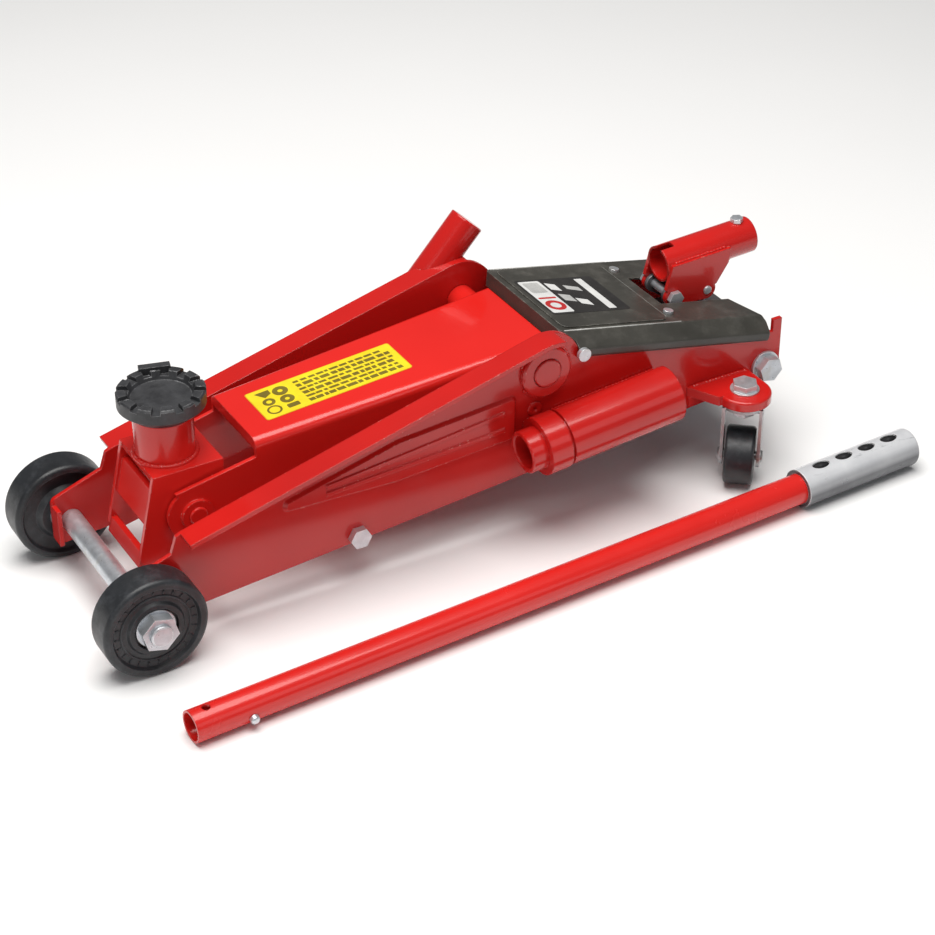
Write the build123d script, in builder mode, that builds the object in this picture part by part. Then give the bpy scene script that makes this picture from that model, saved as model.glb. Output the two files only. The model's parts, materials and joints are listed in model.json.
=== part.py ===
from build123d import *
from math import atan2, cos, degrees, hypot, pi, radians, sin, sqrt, tan
import os

# Hydraulic trolley jack with its loose pump handle. Millimetres.
# The jack is drawn with X = 0 at the front axle, +X towards the saddle, Y = 0 on the
# middle plane with +Y to the left, and Z = 0 on the floor. The row's origin is the middle
# of the whole object's footprint, so every piece is moved there as it is written.

# ---- driving dimensions ---------------------------------------------------------------
PLATE_T = 4  # steel plate
PLATE_IN = 70  # inner faces of the side plates, from the middle plane
PLATE_OUT = PLATE_IN + PLATE_T
FLANGE_OUT = 93  # edge of the outward top flange
FRONT_X = 16  # nose of the side plates
REAR_X = -626  # tail of the side plates
TIE = (-198, 46)  # the spacer bolt between the side plates, X and Z
REAR_BOLT = (-610, 90)  # the bolts into the pump body, X and Z
FIT = 0.05  # radial running clearance of a shaft in its hole

WHEEL_R = 45
WHEEL_IN = 80
WHEEL_W = 30
AXLE_R = 9.5
BUSH_R = 12.5

PIVOT = (-378, 153)  # lift arm's pivot, X and Z
PIVOT_R = 9
BOSS_R = 23.5
BOSS_BORE_R = 13.5
HEAD = (-69, 92)  # head pin, X and Z
HEAD_PIN_R = 8
LINK_OFFSET = (9, -35)  # from either arm pivot to the levelling link's pivot
LINK_IN = 60.5
LINK_T = 5
LINK_PIN_R = 6
LIFT_DEG = 65  # lift arm's travel

ARM_TOP = (-130, 147)  # a point on the arm's top face
ARM_TOP_SLOPE = 0.0806  # fall of the top face towards the front
ARM_FRONT_X = -123
ARM_REAR_X = -395
ARM_T = 4
ARM_HALF_FRONT = 43  # outer half-width at ARM_FRONT_X
ARM_TAPER = 0.0441  # growth of the half-width per mm towards the rear

LEVER_R = 60  # from the pivot to the ram's lever pin
LEVER_PIN_R = 7
RAM_Z = 98
RAM_ROD_R = 13
RAM_BORE_R = 20
TANK_R = 28
TANK_FRONT_X = -452
BLOCK_FRONT_X = -566
BLOCK_REAR_X = -622
FILLER_X = -488

SADDLE_X = -62
SADDLE_R = 36.5
SADDLE_BOTTOM = 171.3
SADDLE_TOP = 192
POST_R = 25
STEM_R = 11

COVER_T = 2
COVER_OUT = 77
COVER_TOP_HALF = 63  # half-width of the flat top, from where the sides slant outwards
COVER_BEND = 11  # height of the slanted sides
COVER_FRONT_X = -400
COVER_REAR_X = -614
COVER_SLOPE = 0.207  # fall of the cover towards the rear
COVER_SKIRT = 20
UNDER_COVER = 12  # from the cover's top down to the side plates' edge
SIDE_SCREW = (-414, 160.5)  # the cover's front side screws, X and Z
TOP_SCREW = (-523, 44)  # the screws on the cover's rails, X and Y

SOCKET_PIVOT = (-546, 150)
ROLLER = (-582, 148)
ROLLER_R = 7
SOCKET_R = 16.5
SOCKET_BORE_R = 14.1
SOCKET_TILT = 3
SOCKET_FRONT = (-541, 176)
SOCKET_L = 96
PLUNGER_X = -578
PLUNGER_R = 7

CASTER_X = -568
CASTER_Y = 103
EAR_TOP = 92
EAR_T = 9
EAR_R = 24
CASTER_WHEEL_R = 26.5
CASTER_WHEEL_W = 26
CASTER_TRAIL = 4
FORK_LEG = 16.5  # from the wheel's middle plane to the middle of a fork leg
FORK_T = 3
CASTER_TURN = 50  # direction of the trail, degrees from +X

SLEEVE_R = 25
SLEEVE_Y = PLATE_OUT + SLEEVE_R - 1
SLEEVE_FRONT = (-358, 96.3)
SLEEVE_TILT = 5.3  # the sleeve rises towards the rear
SLEEVE_L = 134
LINER_R = 19
LINER_BORE_R = 14.5
LINER_OUT = 15  # how far the liner stands out of the sleeve's front

STUB_R = 16
STUB_Y = -93
STUB_FOOT = (-352, 164)
STUB_TOP = (-399, 215)

HANDLE_R = 13.75
HANDLE_BORE_R = 11.75
HANDLE_FRONT = (13, 197)
HANDLE_TURN = 2.9  # swing of the handle in plan, degrees
HANDLE_L = 722
GRIP_R = 17.5
GRIP_L = 127

SIDES = {"left": 1, "right": -1}


# ---- shared geometry ------------------------------------------------------------------
def bottom_edge(x):
    """Height of the side plates' lower edge."""
    return 24 - 0.085 * x


def cover_top(x):
    """Height of the cover's top face."""
    return 177 + COVER_SLOPE * (x + 409)


def arm_top(x):
    """Height of the lift arm's top face."""
    return ARM_TOP[1] - ARM_TOP_SLOPE * (x - ARM_TOP[0])


def arm_half(x):
    """Outer half-width of the lift arm."""
    return ARM_HALF_FRONT + ARM_TAPER * (ARM_FRONT_X - x)


def around(point, radius, angle):
    """Point at a radius and an angle in degrees from another, in X and Z."""
    return point[0] + radius * cos(radians(angle)), point[1] + radius * sin(radians(angle))


LEVER = around(PIVOT, LEVER_R, -90 - LIFT_DEG / 2)
LINK_REAR = (PIVOT[0] + LINK_OFFSET[0], PIVOT[1] + LINK_OFFSET[1])
LINK_FRONT = (HEAD[0] + LINK_OFFSET[0], HEAD[1] + LINK_OFFSET[1])

# Sketches of the jack's side view lie in X and Z, and are extruded along Y: on this plane
# the sketch's x is the jack's X, its y is Z, and a positive extrusion goes to the right.
SIDE = Plane.XZ
pieces = []

# the grip stub leans back, and is welded into notches in the right flange and boss
stub_plane = Plane(
    origin=(STUB_FOOT[0], STUB_Y, STUB_FOOT[1]),
    x_dir=(0, 1, 0),
    z_dir=(STUB_TOP[0] - STUB_FOOT[0], 0, STUB_TOP[1] - STUB_FOOT[1]),
)
STUB_L = hypot(STUB_TOP[0] - STUB_FOOT[0], STUB_TOP[1] - STUB_FOOT[1])


def keep(builder, name):
    """Name a finished piece and hold it for writing."""
    builder.part.label = name
    pieces.append(builder.part)


def side_plane(y):
    """Side view plane at a distance y to the left of the middle."""
    return SIDE.offset(-y)


# ---- side plates ----------------------------------------------------------------------
FLANGE_START = (-40, 102)
plate_points = [
    (FRONT_X, bottom_edge(FRONT_X)),
    (FRONT_X, 68),
    (-31, 85),
    (-36, 100),
]
flange_run = hypot(PIVOT[0] - FLANGE_START[0], PIVOT[1] - FLANGE_START[1])
CORNER_R = 35.4  # the plate's round corner over the arm's pivot
TAIL_X = -617  # the plates stand up again behind the cover
TAIL_TOP = 134
flange_angle = degrees(atan2(PIVOT[1] - FLANGE_START[1], PIVOT[0] - FLANGE_START[0]))
flange_angle -= degrees(atan2(CORNER_R, sqrt(flange_run**2 - CORNER_R**2)))
flange_end = around(PIVOT, CORNER_R, flange_angle - 90)
rib_points = [(-128, 92), (-236, 88), (-350, 95), (-350, 138), (-236, 129), (-132, 103)]

for side, s in SIDES.items():
    with BuildPart() as plate:
        with BuildSketch(side_plane(s * PLATE_IN)) as outline:
            with BuildLine():
                Polyline(
                    *plate_points,
                    FLANGE_START,
                    flange_end,
                    PIVOT,
                    (-404, cover_top(-404) - UNDER_COVER),
                    (TAIL_X, cover_top(TAIL_X) - UNDER_COVER),
                    (TAIL_X, TAIL_TOP),
                    (REAR_X, TAIL_TOP),
                    (REAR_X, 84),
                    (-614, bottom_edge(-614)),
                    close=True,
                )
            make_face()
            with Locations(PIVOT):
                Circle(CORNER_R)
            fillet(outline.vertices().group_by(Axis.X)[-1], 7)
        extrude(amount=-s * PLATE_T)
        # outward top flange, straight and then round the corner
        with BuildSketch(side_plane(s * PLATE_OUT)):
            with BuildLine():
                Polyline(
                    FLANGE_START,
                    flange_end,
                    around(flange_end, PLATE_T, flange_angle + 90),
                    around(FLANGE_START, PLATE_T, flange_angle + 90),
                    close=True,
                )
            make_face()
        extrude(amount=-s * (FLANGE_OUT - PLATE_OUT))
        with BuildSketch(side_plane(s * PLATE_OUT)):
            with Locations(PIVOT):
                Circle(CORNER_R)
                Circle(CORNER_R - PLATE_T, mode=Mode.SUBTRACT)
            with BuildLine():
                Polyline(
                    PIVOT,
                    around(PIVOT, 2 * CORNER_R, flange_angle - 90),
                    around(PIVOT, 2 * CORNER_R, flange_angle - 60),
                    close=True,
                )
            make_face(mode=Mode.INTERSECT)
        extrude(amount=-s * (FLANGE_OUT - PLATE_OUT))
        # inward lip down the nose
        with BuildSketch(side_plane(s * PLATE_IN)):
            with Locations((FRONT_X - PLATE_T / 2, 46)):
                Rectangle(PLATE_T, 34)
        extrude(amount=s * 12)
        # long pressed rib on the outer face, with two narrow ridges on it
        with BuildSketch(side_plane(s * PLATE_OUT)) as rib:
            with BuildLine():
                Polyline(*rib_points, close=True)
            make_face()
            fillet(rib.vertices(), 5)
        extrude(amount=-s * 3, taper=40)
        with BuildSketch(side_plane(s * (PLATE_OUT + 3))):
            for low, high in (((-168, 99), (-338, 108)), ((-168, 106), (-338, 124))):
                with BuildLine():
                    Line(low, high)
                trace(line_width=5)
        extrude(amount=-s * 1.5, taper=30)
        # holes
        with BuildSketch(side_plane(s * (PLATE_IN - 1))):
            with Locations((0, WHEEL_R)):
                Circle(AXLE_R + FIT)
            with Locations(PIVOT):
                Circle(PIVOT_R + FIT)
            with Locations(TIE):
                Circle(5.1)
            with Locations(REAR_BOLT):
                Circle(8.1)
            with Locations(LINK_REAR):
                Circle(LINK_PIN_R)
            with Locations(SIDE_SCREW):
                Circle(2.5)
        extrude(amount=-s * (PLATE_T + 8), mode=Mode.SUBTRACT)
        with BuildSketch(stub_plane):
            Circle(STUB_R)
        extrude(amount=STUB_L, mode=Mode.SUBTRACT)
    keep(plate, f"{side}_side_plate")

with BuildPart() as pivot_bosses:
    for s in SIDES.values():
        with BuildSketch(side_plane(s * PLATE_OUT)):
            with Locations(PIVOT):
                Circle(BOSS_R)
                Circle(BOSS_BORE_R, mode=Mode.SUBTRACT)
        extrude(amount=-s * 5)
    chamfer(pivot_bosses.edges().filter_by(GeomType.CIRCLE).filter_by(
        lambda e: e.radius > 20 and abs(e.center().Y) > PLATE_OUT + 4), 1.5)
    with BuildSketch(stub_plane):
        Circle(STUB_R)
    extrude(amount=STUB_L, mode=Mode.SUBTRACT)
keep(pivot_bosses, "pivot_bosses")

with BuildPart() as arm_pivot_shaft:
    with BuildSketch(side_plane(PLATE_OUT)):
        with Locations(PIVOT):
            Circle(PIVOT_R)
    extrude(amount=2 * PLATE_OUT)
    for s in SIDES.values():
        with BuildSketch(side_plane(s * PLATE_OUT)):
            with Locations(PIVOT):
                Circle(BOSS_BORE_R - 0.5)
        extrude(amount=-s * 6.5)
    chamfer(arm_pivot_shaft.edges().filter_by(GeomType.CIRCLE).group_by(Axis.Y)[0], 1)
    chamfer(arm_pivot_shaft.edges().filter_by(GeomType.CIRCLE).group_by(Axis.Y)[-1], 1)
keep(arm_pivot_shaft, "arm_pivot_shaft")

# ---- tie bolt, rear bolts, link studs -------------------------------------------------
with BuildPart() as tie_spacer:
    with BuildSketch(side_plane(PLATE_IN)):
        with Locations(TIE):
            Circle(7.5)
            Circle(5.1, mode=Mode.SUBTRACT)
    extrude(amount=2 * PLATE_IN)
keep(tie_spacer, "tie_spacer")

with BuildPart() as tie_bolt:
    with BuildSketch(side_plane(PLATE_OUT + 6)):
        with Locations(TIE):
            Circle(5)
    extrude(amount=2 * PLATE_OUT + 14)
    with BuildSketch(side_plane(PLATE_OUT + 6.5)):
        with Locations(TIE):
            RegularPolygon(8.5, 6, major_radius=False)
    extrude(amount=6.5)
    with BuildSketch(side_plane(-PLATE_OUT)):
        with Locations(TIE):
            RegularPolygon(8.5, 6, major_radius=False)
    extrude(amount=7)
keep(tie_bolt, "tie_bolt")

with BuildPart() as rear_bolts:
    for s in SIDES.values():
        with BuildSketch(side_plane(s * 44)):
            with Locations(REAR_BOLT):
                Circle(8)
        extrude(amount=-s * (PLATE_OUT + 2.5 - 44))
        with BuildSketch(side_plane(s * (PLATE_OUT + 2.5))):
            with Locations(REAR_BOLT):
                RegularPolygon(10.5, 6, major_radius=False, rotation=12)
        extrude(amount=-s * 9)
        # washer, a solid of its own
        with BuildSketch(side_plane(s * PLATE_OUT)):
            with Locations(REAR_BOLT):
                Circle(14)
                Circle(8.2, mode=Mode.SUBTRACT)
        extrude(amount=-s * 2.4)
keep(rear_bolts, "rear_bolts")

with BuildPart() as link_studs:
    for s in SIDES.values():
        with BuildSketch(side_plane(s * (LINK_IN - 4))):
            with Locations(LINK_REAR):
                Circle(LINK_PIN_R)
        extrude(amount=-s * (PLATE_OUT - LINK_IN + 4))
        with BuildSketch(side_plane(s * (LINK_IN - 3.5))):
            with Locations(LINK_REAR):
                Circle(LINK_PIN_R + 3)
        extrude(amount=-s * 3)
keep(link_studs, "link_studs")

# ---- front axle and wheels ------------------------------------------------------------
AXLE_END = 121
with BuildPart() as front_axle:
    with BuildSketch(side_plane(AXLE_END)):
        with Locations((0, WHEEL_R)):
            Circle(AXLE_R)
    extrude(amount=2 * AXLE_END)
    chamfer(front_axle.edges().filter_by(GeomType.CIRCLE), 1.2)
keep(front_axle, "front_axle")

with BuildPart() as axle_washers:
    for s in SIDES.values():
        for start, width, radius in ((PLATE_OUT, 5.6, 15), (105.4, 2, 17)):
            with BuildSketch(side_plane(s * start)):
                with Locations((0, WHEEL_R)):
                    Circle(radius)
                    Circle(AXLE_R + 0.1, mode=Mode.SUBTRACT)
            extrude(amount=-s * width)
keep(axle_washers, "axle_washers")

with BuildPart() as axle_nuts:
    for s in SIDES.values():
        with BuildSketch(side_plane(s * 107.4)):
            with Locations((0, WHEEL_R)):
                RegularPolygon(14, 6, major_radius=False, rotation=15)
                Circle(AXLE_R, mode=Mode.SUBTRACT)
        extrude(amount=-s * 10)
keep(axle_nuts, "axle_nuts")

for side, s in SIDES.items():
    # the wheel is turned about its axle: the profile's x is the radius, y is outwards
    axle_plane = Plane(origin=(0, s * WHEEL_IN, WHEEL_R), x_dir=(1, 0, 0), z_dir=(0, 0, s))
    with BuildPart() as wheel:
        with BuildSketch(axle_plane) as profile:
            with BuildLine():
                Polyline(
                    (BUSH_R, 0),
                    (22, 0),
                    (26, 4),
                    (37, 4),
                    (39, 0),
                    (WHEEL_R, 0),
                    (WHEEL_R, WHEEL_W),
                    (38, WHEEL_W),
                    (36, 26.5),
                    (25, 26.5),
                    (23, 29),
                    (19, 29),
                    (19, 25),
                    (BUSH_R, 25),
                    close=True,
                )
            make_face()
            fillet(profile.vertices().group_by(Axis.X)[-1], 4)
        revolve(axis=Axis((0, 0, WHEEL_R), (0, 1, 0)))
    keep(wheel, f"{side}_front_wheel")
    with BuildPart() as bush:
        with BuildSketch(side_plane(s * WHEEL_IN)):
            with Locations((0, WHEEL_R)):
                Circle(BUSH_R)
                Circle(AXLE_R + FIT, mode=Mode.SUBTRACT)
        extrude(amount=-s * 25)
    keep(bush, f"{side}_wheel_bush")

# ---- casters --------------------------------------------------------------------------
EAR_BOTTOM = EAR_TOP - EAR_T
FORK_TOP = EAR_BOTTOM - 3
FORK_OUT = FORK_LEG + FORK_T / 2
for side, s in SIDES.items():
    pole = (CASTER_X, s * CASTER_Y)
    trail = (
        CASTER_X + CASTER_TRAIL * cos(radians(CASTER_TURN)),
        s * (CASTER_Y + CASTER_TRAIL * sin(radians(CASTER_TURN))),
    )
    with BuildPart() as ear:
        with BuildSketch(Plane.XY.offset(EAR_BOTTOM)):
            with BuildLine():
                Polyline(
                    (-526, s * PLATE_OUT),
                    (-541, s * CASTER_Y),
                    (CASTER_X, s * CASTER_Y),
                    (-592, s * CASTER_Y),
                    (-592, s * PLATE_OUT),
                    close=True,
                )
            make_face()
            with Locations(pole):
                Circle(EAR_R)
        extrude(amount=EAR_T)
        fillet(ear.edges().filter_by(GeomType.CIRCLE).group_by(Axis.Z)[-1], 2.5)
        with BuildSketch(Plane.XY.offset(74)):
            with Locations((-559, s * (PLATE_OUT + 2.5))):
                Rectangle(66, 5)
        extrude(amount=EAR_BOTTOM - 74)
        with Locations((*pole, EAR_TOP)):
            Hole(6.1, depth=EAR_T)
    keep(ear, f"{side}_caster_bracket")

    # the fork and the wheel are drawn on the wheel's own plane, x along the trail
    facing = s * radians(CASTER_TURN)
    wheel_plane = Plane(
        origin=(*pole, 0), x_dir=(cos(facing), sin(facing), 0), z_dir=(sin(facing), -cos(facing), 0)
    )
    with BuildPart() as fork:
        with BuildSketch(Plane.XY.offset(FORK_TOP)):
            with Locations(pole):
                Circle(FORK_OUT + 1.5)
                Circle(6 + FIT, mode=Mode.SUBTRACT)
        extrude(amount=-FORK_T)
        for leg in (1, -1):
            with BuildSketch(wheel_plane.offset(leg * FORK_LEG)):
                with BuildLine():
                    Polyline(
                        (-13, FORK_TOP - 1),
                        (13, FORK_TOP - 1),
                        (CASTER_TRAIL + 9.5, CASTER_WHEEL_R),
                        (CASTER_TRAIL - 9.5, CASTER_WHEEL_R),
                        (-13, 60),
                        close=True,
                    )
                make_face()
                with Locations((CASTER_TRAIL, CASTER_WHEEL_R)):
                    Circle(10)
                    Circle(4 + FIT, mode=Mode.SUBTRACT)
            extrude(amount=FORK_T / 2, both=True)
        with BuildSketch(wheel_plane.offset(-FORK_OUT)):
            with BuildLine():
                Polyline((-13, FORK_TOP), (-15, FORK_TOP), (-15, 60), (-13, 60), close=True)
            make_face()
        extrude(amount=2 * FORK_OUT)
    keep(fork, f"{side}_caster_fork")

    with BuildPart() as caster_wheel:
        with BuildSketch(wheel_plane.offset(-CASTER_WHEEL_W / 2)):
            with Locations((CASTER_TRAIL, CASTER_WHEEL_R)):
                Circle(CASTER_WHEEL_R)
                Circle(4 + FIT, mode=Mode.SUBTRACT)
        extrude(amount=CASTER_WHEEL_W)
        fillet(caster_wheel.edges().filter_by(GeomType.CIRCLE).filter_by(
            lambda e: e.radius > 20), 3)
    keep(caster_wheel, f"{side}_caster_wheel")

    with BuildPart() as caster_axle:
        with BuildSketch(wheel_plane.offset(-FORK_OUT)):
            with Locations((CASTER_TRAIL, CASTER_WHEEL_R)):
                Circle(4)
        extrude(amount=2 * FORK_OUT)
        # riveted ends
        for leg in (1, -1):
            with BuildSketch(wheel_plane.offset(leg * FORK_OUT)):
                with Locations((CASTER_TRAIL, CASTER_WHEEL_R)):
                    Circle(6)
            extrude(amount=leg * 2.2, taper=30)
    keep(caster_axle, f"{side}_caster_axle")

with BuildPart() as caster_bolts:
    for s in SIDES.values():
        pole = (CASTER_X, s * CASTER_Y)
        for start, end, radius in ((EAR_TOP, EAR_TOP + 1.5, 13), (66, EAR_TOP, 6)):
            with BuildSketch(Plane.XY.offset(start)):
                with Locations(pole):
                    Circle(radius)
            extrude(amount=end - start)
        for start, height, across in ((EAR_TOP + 1.5, 6, 20), (68, 7.5, 18)):
            with BuildSketch(Plane.XY.offset(start)):
                with Locations(pole):
                    RegularPolygon(across / 2, 6, major_radius=False)
            extrude(amount=height)
keep(caster_bolts, "caster_bolts")

with BuildPart() as caster_bearings:
    for s in SIDES.values():
        with BuildSketch(Plane.XY.offset(FORK_TOP + 0.2)):
            with Locations((CASTER_X, s * CASTER_Y)):
                Circle(15)
                Circle(6.2, mode=Mode.SUBTRACT)
        extrude(amount=EAR_BOTTOM - FORK_TOP - 0.2)
keep(caster_bearings, "caster_bearings")

# ---- storage sleeve and grip stub -----------------------------------------------------
sleeve_tilt = radians(SLEEVE_TILT)
sleeve_plane = Plane(
    origin=(SLEEVE_FRONT[0], SLEEVE_Y, SLEEVE_FRONT[1]),
    x_dir=(0, 1, 0),
    z_dir=(-cos(sleeve_tilt), 0, sin(sleeve_tilt)),
)
with BuildPart() as storage_sleeve:
    for start, end, radius in ((0, 20, SLEEVE_R + 1), (20, 23, 22), (23, SLEEVE_L, SLEEVE_R)):
        with BuildSketch(sleeve_plane.offset(start)):
            Circle(radius)
            Circle(LINER_R, mode=Mode.SUBTRACT)
        extrude(amount=end - start)
    # flat where it's welded to the plate
    with BuildSketch(side_plane(PLATE_OUT)):
        with Locations((-425, 100)):
            Rectangle(200, 80)
    extrude(amount=20, mode=Mode.SUBTRACT)
keep(storage_sleeve, "storage_sleeve")

with BuildPart() as sleeve_liner:
    with BuildSketch(sleeve_plane.offset(-LINER_OUT)):
        Circle(LINER_R)
        Circle(LINER_BORE_R, mode=Mode.SUBTRACT)
    extrude(amount=SLEEVE_L + LINER_OUT)
    chamfer(sleeve_liner.edges().filter_by(GeomType.CIRCLE).group_by(Axis.X)[-1], 1)
keep(sleeve_liner, "sleeve_liner")

with BuildPart() as grip_stub:
    with BuildSketch(stub_plane):
        Circle(STUB_R)
    extrude(amount=STUB_L)
    fillet(grip_stub.edges().filter_by(GeomType.CIRCLE).group_by(Axis.Z)[-1], 1.5)
    with BuildSketch(stub_plane):
        Circle(STUB_R - 2.5)
    extrude(amount=STUB_L - 4, mode=Mode.SUBTRACT)
keep(grip_stub, "grip_stub")

# ---- cover ----------------------------------------------------------------------------
slope = atan2(COVER_SLOPE, 1)
COVER_L = (COVER_FRONT_X - COVER_REAR_X) / cos(slope)
SLOT_START = 130  # from the cover's front to the open slot for the pump socket
SLOT_HALF = 27
COVER_SLANT = atan2(COVER_BEND, COVER_OUT - COVER_TOP_HALF)


def cover_outline(inset):
    """Points of the cover's section: the flat top, slanted sides and upright skirts."""
    top = COVER_TOP_HALF - inset * tan(COVER_SLANT / 2)
    bend = COVER_BEND + inset * tan((pi / 2 - COVER_SLANT) / 2)
    side = COVER_OUT - inset
    bottom = COVER_SKIRT + inset
    return [(-top, inset), (top, inset), (side, bend), (side, bottom), (-side, bottom), (-side, bend)]


# across the cover: x to the left, y downwards, and the plane's normal to the rear
cover_plane = Plane(
    origin=(COVER_FRONT_X, 0, cover_top(COVER_FRONT_X)),
    x_dir=(0, 1, 0),
    z_dir=(-cos(slope), 0, -sin(slope)),
)
with BuildPart() as unit_cover:
    with BuildSketch(cover_plane) as section:
        with BuildLine():
            Polyline(*cover_outline(0), close=True)
        make_face()
        fillet(section.vertices().group_by(Axis.Z)[-1], 3.5)
    extrude(amount=COVER_L)
    with BuildSketch(cover_plane) as hollow:
        with BuildLine():
            Polyline(*cover_outline(COVER_T), close=True)
        make_face()
        fillet(hollow.vertices().group_by(Axis.Z)[-1], 1.5)
    extrude(amount=COVER_L, mode=Mode.SUBTRACT)
    # lip down the front
    with BuildSketch(cover_plane):
        with Locations((0, 1)):
            Rectangle(2 * (COVER_TOP_HALF - 3), 12, align=(Align.CENTER, Align.MIN))
    extrude(amount=COVER_T)
    with BuildSketch(cover_plane.offset(SLOT_START)):
        Rectangle(2 * SLOT_HALF, 3 * COVER_T)
    extrude(amount=COVER_L, mode=Mode.SUBTRACT)
    # the front corners clear the pivot bosses, and the rails' rear corners are slanted
    with BuildSketch(Plane.XY.offset(60)):
        for s in SIDES.values():
            with BuildLine():
                Polyline(
                    (COVER_FRONT_X + 12, s * 48),
                    (COVER_FRONT_X - 11, s * 71),
                    (COVER_FRONT_X - 11, s * 80),
                    (COVER_FRONT_X + 12, s * 80),
                    close=True,
                )
            make_face()
            with BuildLine():
                Polyline(
                    (COVER_REAR_X - 10, s * (SLOT_HALF - 1)),
                    (COVER_REAR_X + 14, s * (SLOT_HALF - 1)),
                    (COVER_REAR_X - 2, s * COVER_OUT),
                    (COVER_REAR_X - 10, s * COVER_OUT),
                    close=True,
                )
            make_face()
    extrude(amount=120, mode=Mode.SUBTRACT)
    with BuildSketch(side_plane(COVER_OUT + 1)):
        with Locations(SIDE_SCREW):
            Circle(2.5)
    extrude(amount=2 * COVER_OUT + 2, mode=Mode.SUBTRACT)
    with BuildSketch(Plane.XY.offset(120)):
        with Locations(TOP_SCREW, (TOP_SCREW[0], -TOP_SCREW[1])):
            Circle(2.5)
    extrude(amount=60, mode=Mode.SUBTRACT)
keep(unit_cover, "unit_cover")

with BuildPart() as cover_screws:
    for s in SIDES.values():
        with BuildSketch(side_plane(s * (PLATE_IN - 3))):
            with Locations(SIDE_SCREW):
                Circle(2.4)
        extrude(amount=-s * (COVER_OUT - PLATE_IN + 3))
        with BuildSketch(side_plane(s * COVER_OUT)):
            with Locations(SIDE_SCREW):
                Circle(6)
        extrude(amount=-s * 4)
        top_plane = Plane(
            origin=(TOP_SCREW[0], s * TOP_SCREW[1], cover_top(TOP_SCREW[0])),
            x_dir=(0, 1, 0),
            z_dir=(-sin(slope), 0, cos(slope)),
        )
        with BuildSketch(top_plane):
            Circle(4.5)
        extrude(amount=2.5)
        with BuildSketch(top_plane):
            Circle(2)
        extrude(amount=-9)
        with BuildSketch(top_plane.offset(-COVER_T - 0.1)):
            RegularPolygon(5, 6)
        extrude(amount=-3)
keep(cover_screws, "cover_screws")

# ---- hydraulic unit -------------------------------------------------------------------
BLOCK_TOP = 112
BLOCK_BOTTOM = 74
BLOCK_HALF = 44
SPRING_Y = 38
SPRING_DROP = 14  # from the ram's axis down to the return springs'
# planes across the ram's axis, facing forwards
ACROSS = Plane(origin=(0, 0, RAM_Z), x_dir=(0, 1, 0), z_dir=(1, 0, 0))
VALVE_Z = 93

with BuildPart() as pump_body:
    with BuildSketch(Plane.XY.offset(BLOCK_BOTTOM)) as block:
        with Locations(((BLOCK_FRONT_X + BLOCK_REAR_X) / 2, 0)):
            Rectangle(BLOCK_FRONT_X - BLOCK_REAR_X, 2 * BLOCK_HALF)
        fillet(block.vertices(), 6)
    extrude(amount=BLOCK_TOP - BLOCK_BOTTOM)
    for s in SIDES.values():
        with BuildSketch(side_plane(s * (BLOCK_HALF - 8))):
            with Locations(REAR_BOLT):
                Circle(13)
        extrude(amount=-s * (PLATE_IN - BLOCK_HALF + 8))
        # ears that carry the pump socket's pivot
        with BuildSketch(side_plane(s * 11.5)):
            with BuildLine():
                Polyline(
                    (-598, BLOCK_TOP - 2),
                    (-585, 134),
                    (-552, 157),
                    (-540, 144),
                    (BLOCK_FRONT_X, 127),
                    (BLOCK_FRONT_X, BLOCK_TOP - 2),
                    close=True,
                )
            make_face()
            with Locations(SOCKET_PIVOT):
                Circle(8.5)
                Circle(4 + FIT, mode=Mode.SUBTRACT)
        extrude(amount=-s * 3.3)
        with BuildSketch(side_plane(s * PLATE_IN)):
            with Locations(REAR_BOLT):
                Circle(8)
        extrude(amount=s * (PLATE_IN - BLOCK_HALF), mode=Mode.SUBTRACT)
        # eye for the return spring's rear hook
        with BuildSketch(Plane.XY.offset(RAM_Z - SPRING_DROP - 2)):
            with Locations((BLOCK_FRONT_X, s * SPRING_Y)):
                SlotOverall(18, 8)
                with Locations((4.5, 0)):
                    Circle(2, mode=Mode.SUBTRACT)
        extrude(amount=4)
    with Locations((PLUNGER_X, 0, BLOCK_TOP)):
        Hole(10, depth=22)
        Hole(PLUNGER_R + FIT, depth=36)
    with BuildSketch(Plane.YZ.offset(BLOCK_REAR_X)):
        with Locations((0, VALVE_Z)):
            Circle(5 + FIT)
    extrude(amount=20, mode=Mode.SUBTRACT)
keep(pump_body, "pump_body")

with BuildPart() as reservoir_tank:
    with BuildSketch(ACROSS.offset(BLOCK_FRONT_X)):
        Circle(TANK_R)
        Circle(TANK_R - 2.5, mode=Mode.SUBTRACT)
    extrude(amount=TANK_FRONT_X - BLOCK_FRONT_X)
    with Locations((FILLER_X, 0, RAM_Z + TANK_R)):
        Hole(5, depth=6)
keep(reservoir_tank, "reservoir_tank")

with BuildPart() as ram_cylinder:
    with BuildSketch(ACROSS.offset(BLOCK_FRONT_X)):
        Circle(23.5)
        Circle(RAM_BORE_R, mode=Mode.SUBTRACT)
    extrude(amount=TANK_FRONT_X - BLOCK_FRONT_X)
keep(ram_cylinder, "ram_cylinder")

with BuildPart() as gland_nut:
    with BuildSketch(ACROSS.offset(TANK_FRONT_X)):
        Circle(TANK_R)
        Circle(RAM_ROD_R + FIT, mode=Mode.SUBTRACT)
    extrude(amount=6)
    with BuildSketch(ACROSS.offset(TANK_FRONT_X + 6)):
        RegularPolygon(22, 6, major_radius=False)
        Circle(RAM_ROD_R + FIT, mode=Mode.SUBTRACT)
    extrude(amount=9)
keep(gland_nut, "gland_nut")

with BuildPart() as filler_plug:
    with BuildSketch(Plane.XY.offset(RAM_Z + TANK_R - 3)):
        with Locations((FILLER_X, 0)):
            Circle(5)
    extrude(amount=4)
    with BuildSketch(Plane.XY.offset(RAM_Z + TANK_R + 0.1)):
        with Locations((FILLER_X, 0)):
            Circle(8)
    extrude(amount=4)
keep(filler_plug, "filler_plug")

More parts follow.
